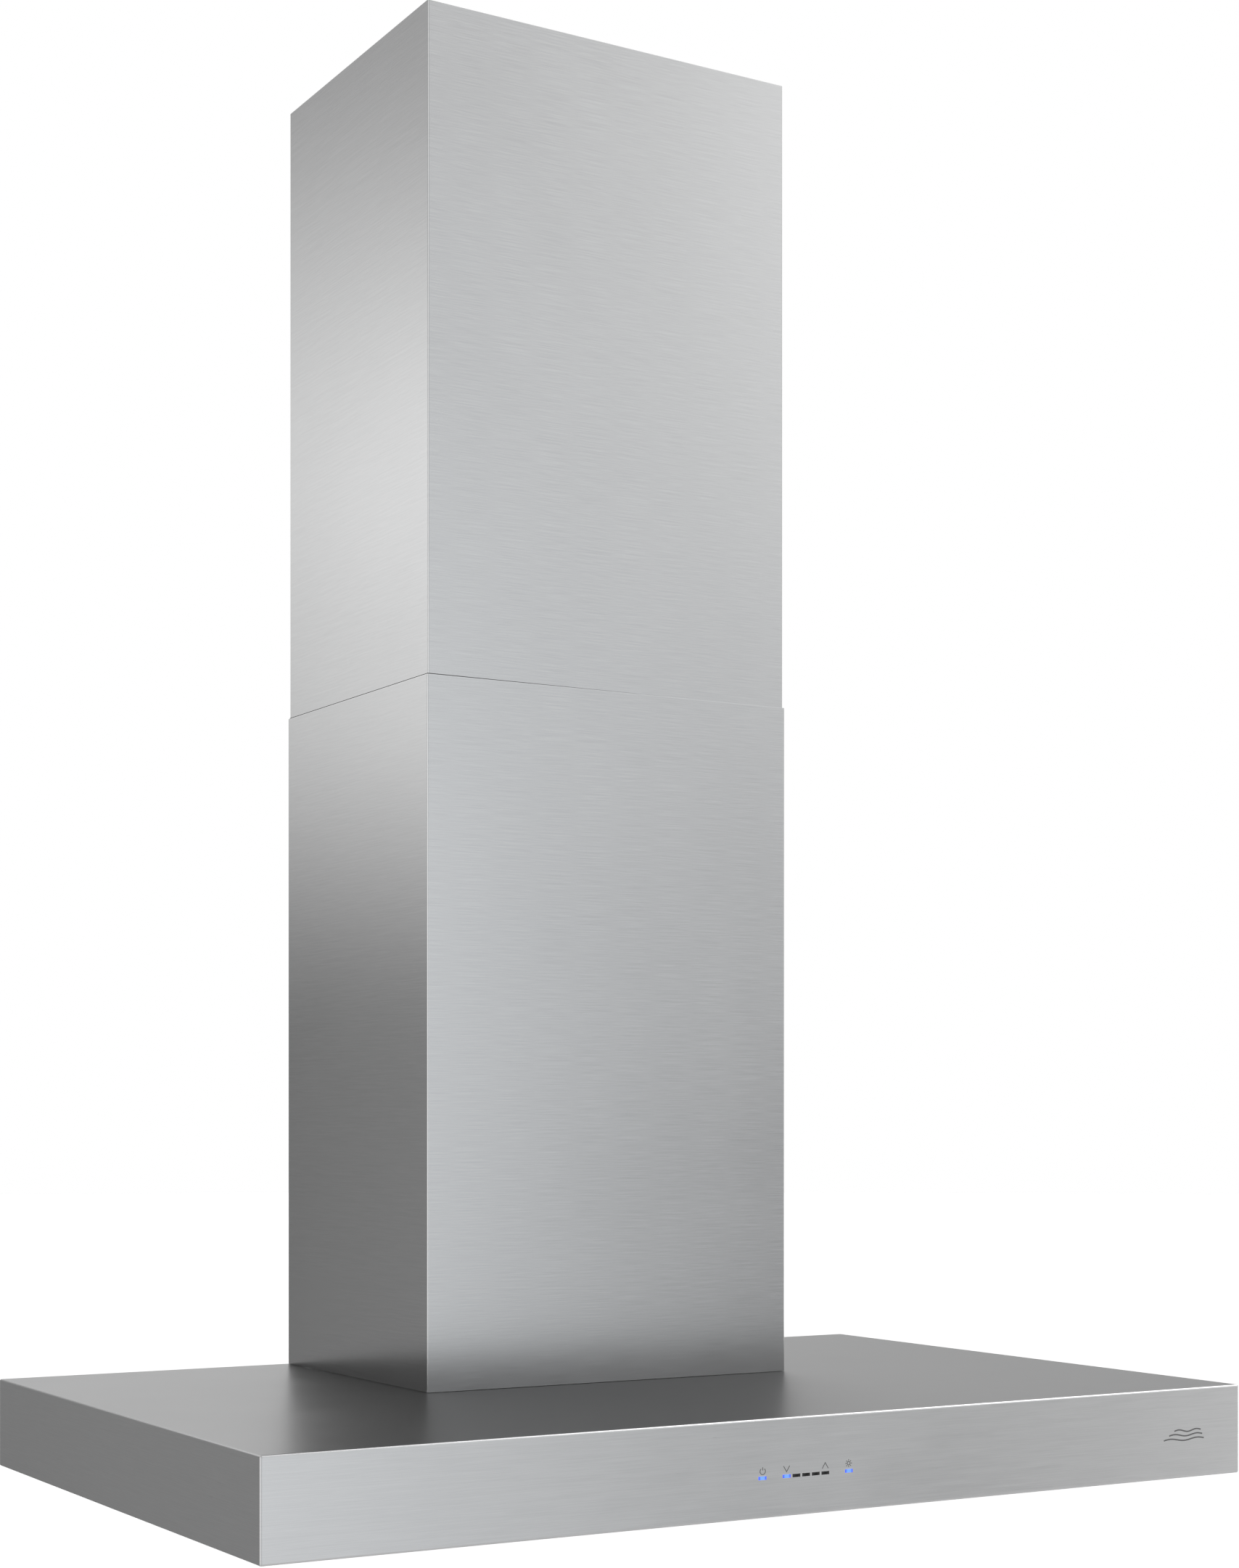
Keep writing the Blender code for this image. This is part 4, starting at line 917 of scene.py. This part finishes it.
def make_seam():
    """A dark felt strip round the joint where the upper cover slides in the lower one. It paints the
    shade in the gap there. Its front run sinks out of sight towards the right, so the painted shade
    fades out that way."""
    strip = bmesh.new()
    for x in (-GAP_SHADE_SIDE_X, GAP_SHADE_SIDE_X):
        rounded_box(strip, (x - GAP_SHADE_SIDE_HALF, x + GAP_SHADE_SIDE_HALF), GAP_SHADE_SIDE_Y, GAP_SHADE_Z,
                    GAP_SHADE_EDGE, 1)
    rounded_box(strip, (-GAP_SHADE_FRONT_HALF_W, GAP_SHADE_FRONT_HALF_W), GAP_SHADE_FRONT_Y, GAP_SHADE_Z, GAP_SHADE_EDGE, 1)
    for vert in strip.verts:
        if vert.co.y < 1 and vert.co.z > JOINT_Z and vert.co.x > SINK_FROM_X:
            vert.co.z -= SINK * (vert.co.x - SINK_FROM_X)
    # the strip's dark felt paints the shade in the joint's gap
    piece("seam_gap_shade", strip, gap_shade_felt())


def gap_shade_felt():
    """Charcoal felt with loose fibres. Its dark colour is painted shade for the joint's gap."""
    made, n = material("gap_shade_felt")
    place = n.add("TexCoord").outputs["Object"]
    fibre = n.noise(n.scaled(place, (900, 900, 3500)), 1.0, 5.0, 0.7)
    # dark enough to paint the shade in the joint's gap
    colour = n.blend(n.ramp(fibre, 0.3, 0.7), grey(0.035), grey(0.11))
    shade(n, {"Base Color": colour, "Roughness": n.ramp(fibre, 0.2, 0.8, 0.8, 0.95)},
          fibre, 0.0002, 0.5)
    return made


def make_box_details():
    """Stiffening ribs and rivets on the blower box's rear face."""
    ribs = bmesh.new()
    for z in RIB_Z:
        rounded_box(ribs, (-RIB_HALF_L, RIB_HALF_L), RIB_Y, (z - RIB_HALF_H, z + RIB_HALF_H),
                    RIB_EDGE, 3)
    piece("blower_box_ribs", ribs, "galvanised")
    rivets("blower_box_rivets", BOX_RIVETS, BACK, "galvanised")


def make_collar_beads():
    """Two rolled beads round the outlet collar."""
    beads = bmesh.new()
    for z in BEAD_Z:
        lathe(beads, around(10, BEAD_R, COLLAR_R, z), COLLAR_AT, steps=96, closed=True)
    piece("collar_beads", beads, "galvanised")


def make_knockouts():
    """Two rings in the junction box's rear and left sides, where a blank could be knocked out."""
    knockouts = bmesh.new()
    for at, axis in KNOCKOUTS:
        for radius in KNOCKOUT_R:
            lathe(knockouts, around(8, KNOCKOUT_LINE, radius), at, axis, closed=True)
    piece("box_knockouts", knockouts, "galvanised")


def blade_outline(middle):
    """A blade's section, which leans forward more and more from its root at this angle."""
    sides = ([], [])
    for i in range(BLADE_STEPS + 1):
        share = i / BLADE_STEPS
        radius = ROOT_R + BLADE_INSET + (WHEEL_R - ROOT_R - 2 * BLADE_INSET) * share
        for side, way in zip(sides, (-1, 1)):
            angle = middle + BLADE_LEAN * share**2 + way * BLADE_THICK / 2 / radius
            side.append((radius * math.cos(angle), radius * math.sin(angle)))
    return sides[1] + sides[0][::-1]


def ring_profile(way):
    """The section of the wheel's end ring on one side, its edges bevelled."""
    edge, low, high = RING_EDGE, RING_FROM, WHEEL_HALF
    corners = (
        (ROOT_R, low + edge), (ROOT_R + edge, low), (WHEEL_R - edge, low), (WHEEL_R, low + edge),
        (WHEEL_R, high - edge), (WHEEL_R - edge, high), (ROOT_R + edge, high),
        (ROOT_R, high - edge),
    )
    return [(radius, way * x) for radius, x in corners]


def make_impeller():
    """A double-inlet wheel with thin blades that curve forward."""
    wheel = bmesh.new()
    lathe(wheel, HUB, WHEEL, RIGHT, WHEEL_STEPS, closed=True)
    for way in (-1, 1):
        lathe(wheel, ring_profile(way), WHEEL, RIGHT, WHEEL_STEPS, closed=True)
    reach = WHEEL_HALF - BLADE_INSET
    for blade in range(BLADES):
        solid(wheel, blade_outline(2 * math.pi * blade / BLADES), -reach, reach, WHEEL, RIGHT)
    piece("impeller_blades", wheel, "black_plastic", "impeller_wheel", ["impeller"])


def make_gland():
    """A cable gland: hexagon foot, ribbed cap and a rounded seal round the lead."""
    gland = bmesh.new()
    solid(gland, around(6, GLAND_FOOT_R), GLAND_LOW, GLAND_MIDDLE, GLAND_AT, edge=0.5)
    crests, grooves = (around(3 * GLAND_RIBS, r) for r in (GLAND_CAP_R, GLAND_GROOVE_R))
    ribbed = [grooves[i] if i % 3 == 2 else crests[i] for i in range(3 * GLAND_RIBS)]
    solid(gland, ribbed, GLAND_MIDDLE, GLAND_HIGH, GLAND_AT, edge=0.4)
    lathe(gland, GLAND_SEAL, GLAND_AT)
    piece("gland_cap", gland, "black_plastic", instead_of=["cable_gland"])


def make_details():
    """The finer pieces, which the CAD model leaves out or holds in plainer form."""
    make_windows()
    make_print()
    make_screws()
    make_lamps()
    make_filter_details()
    make_seam()
    make_box_details()
    make_collar_beads()
    make_knockouts()
    make_gland()
    make_impeller()


make_stage()
FINISH = {name: make(name, **settings) for name, (make, settings) in FINISHES.items()}
finish_nodes()
make_details()
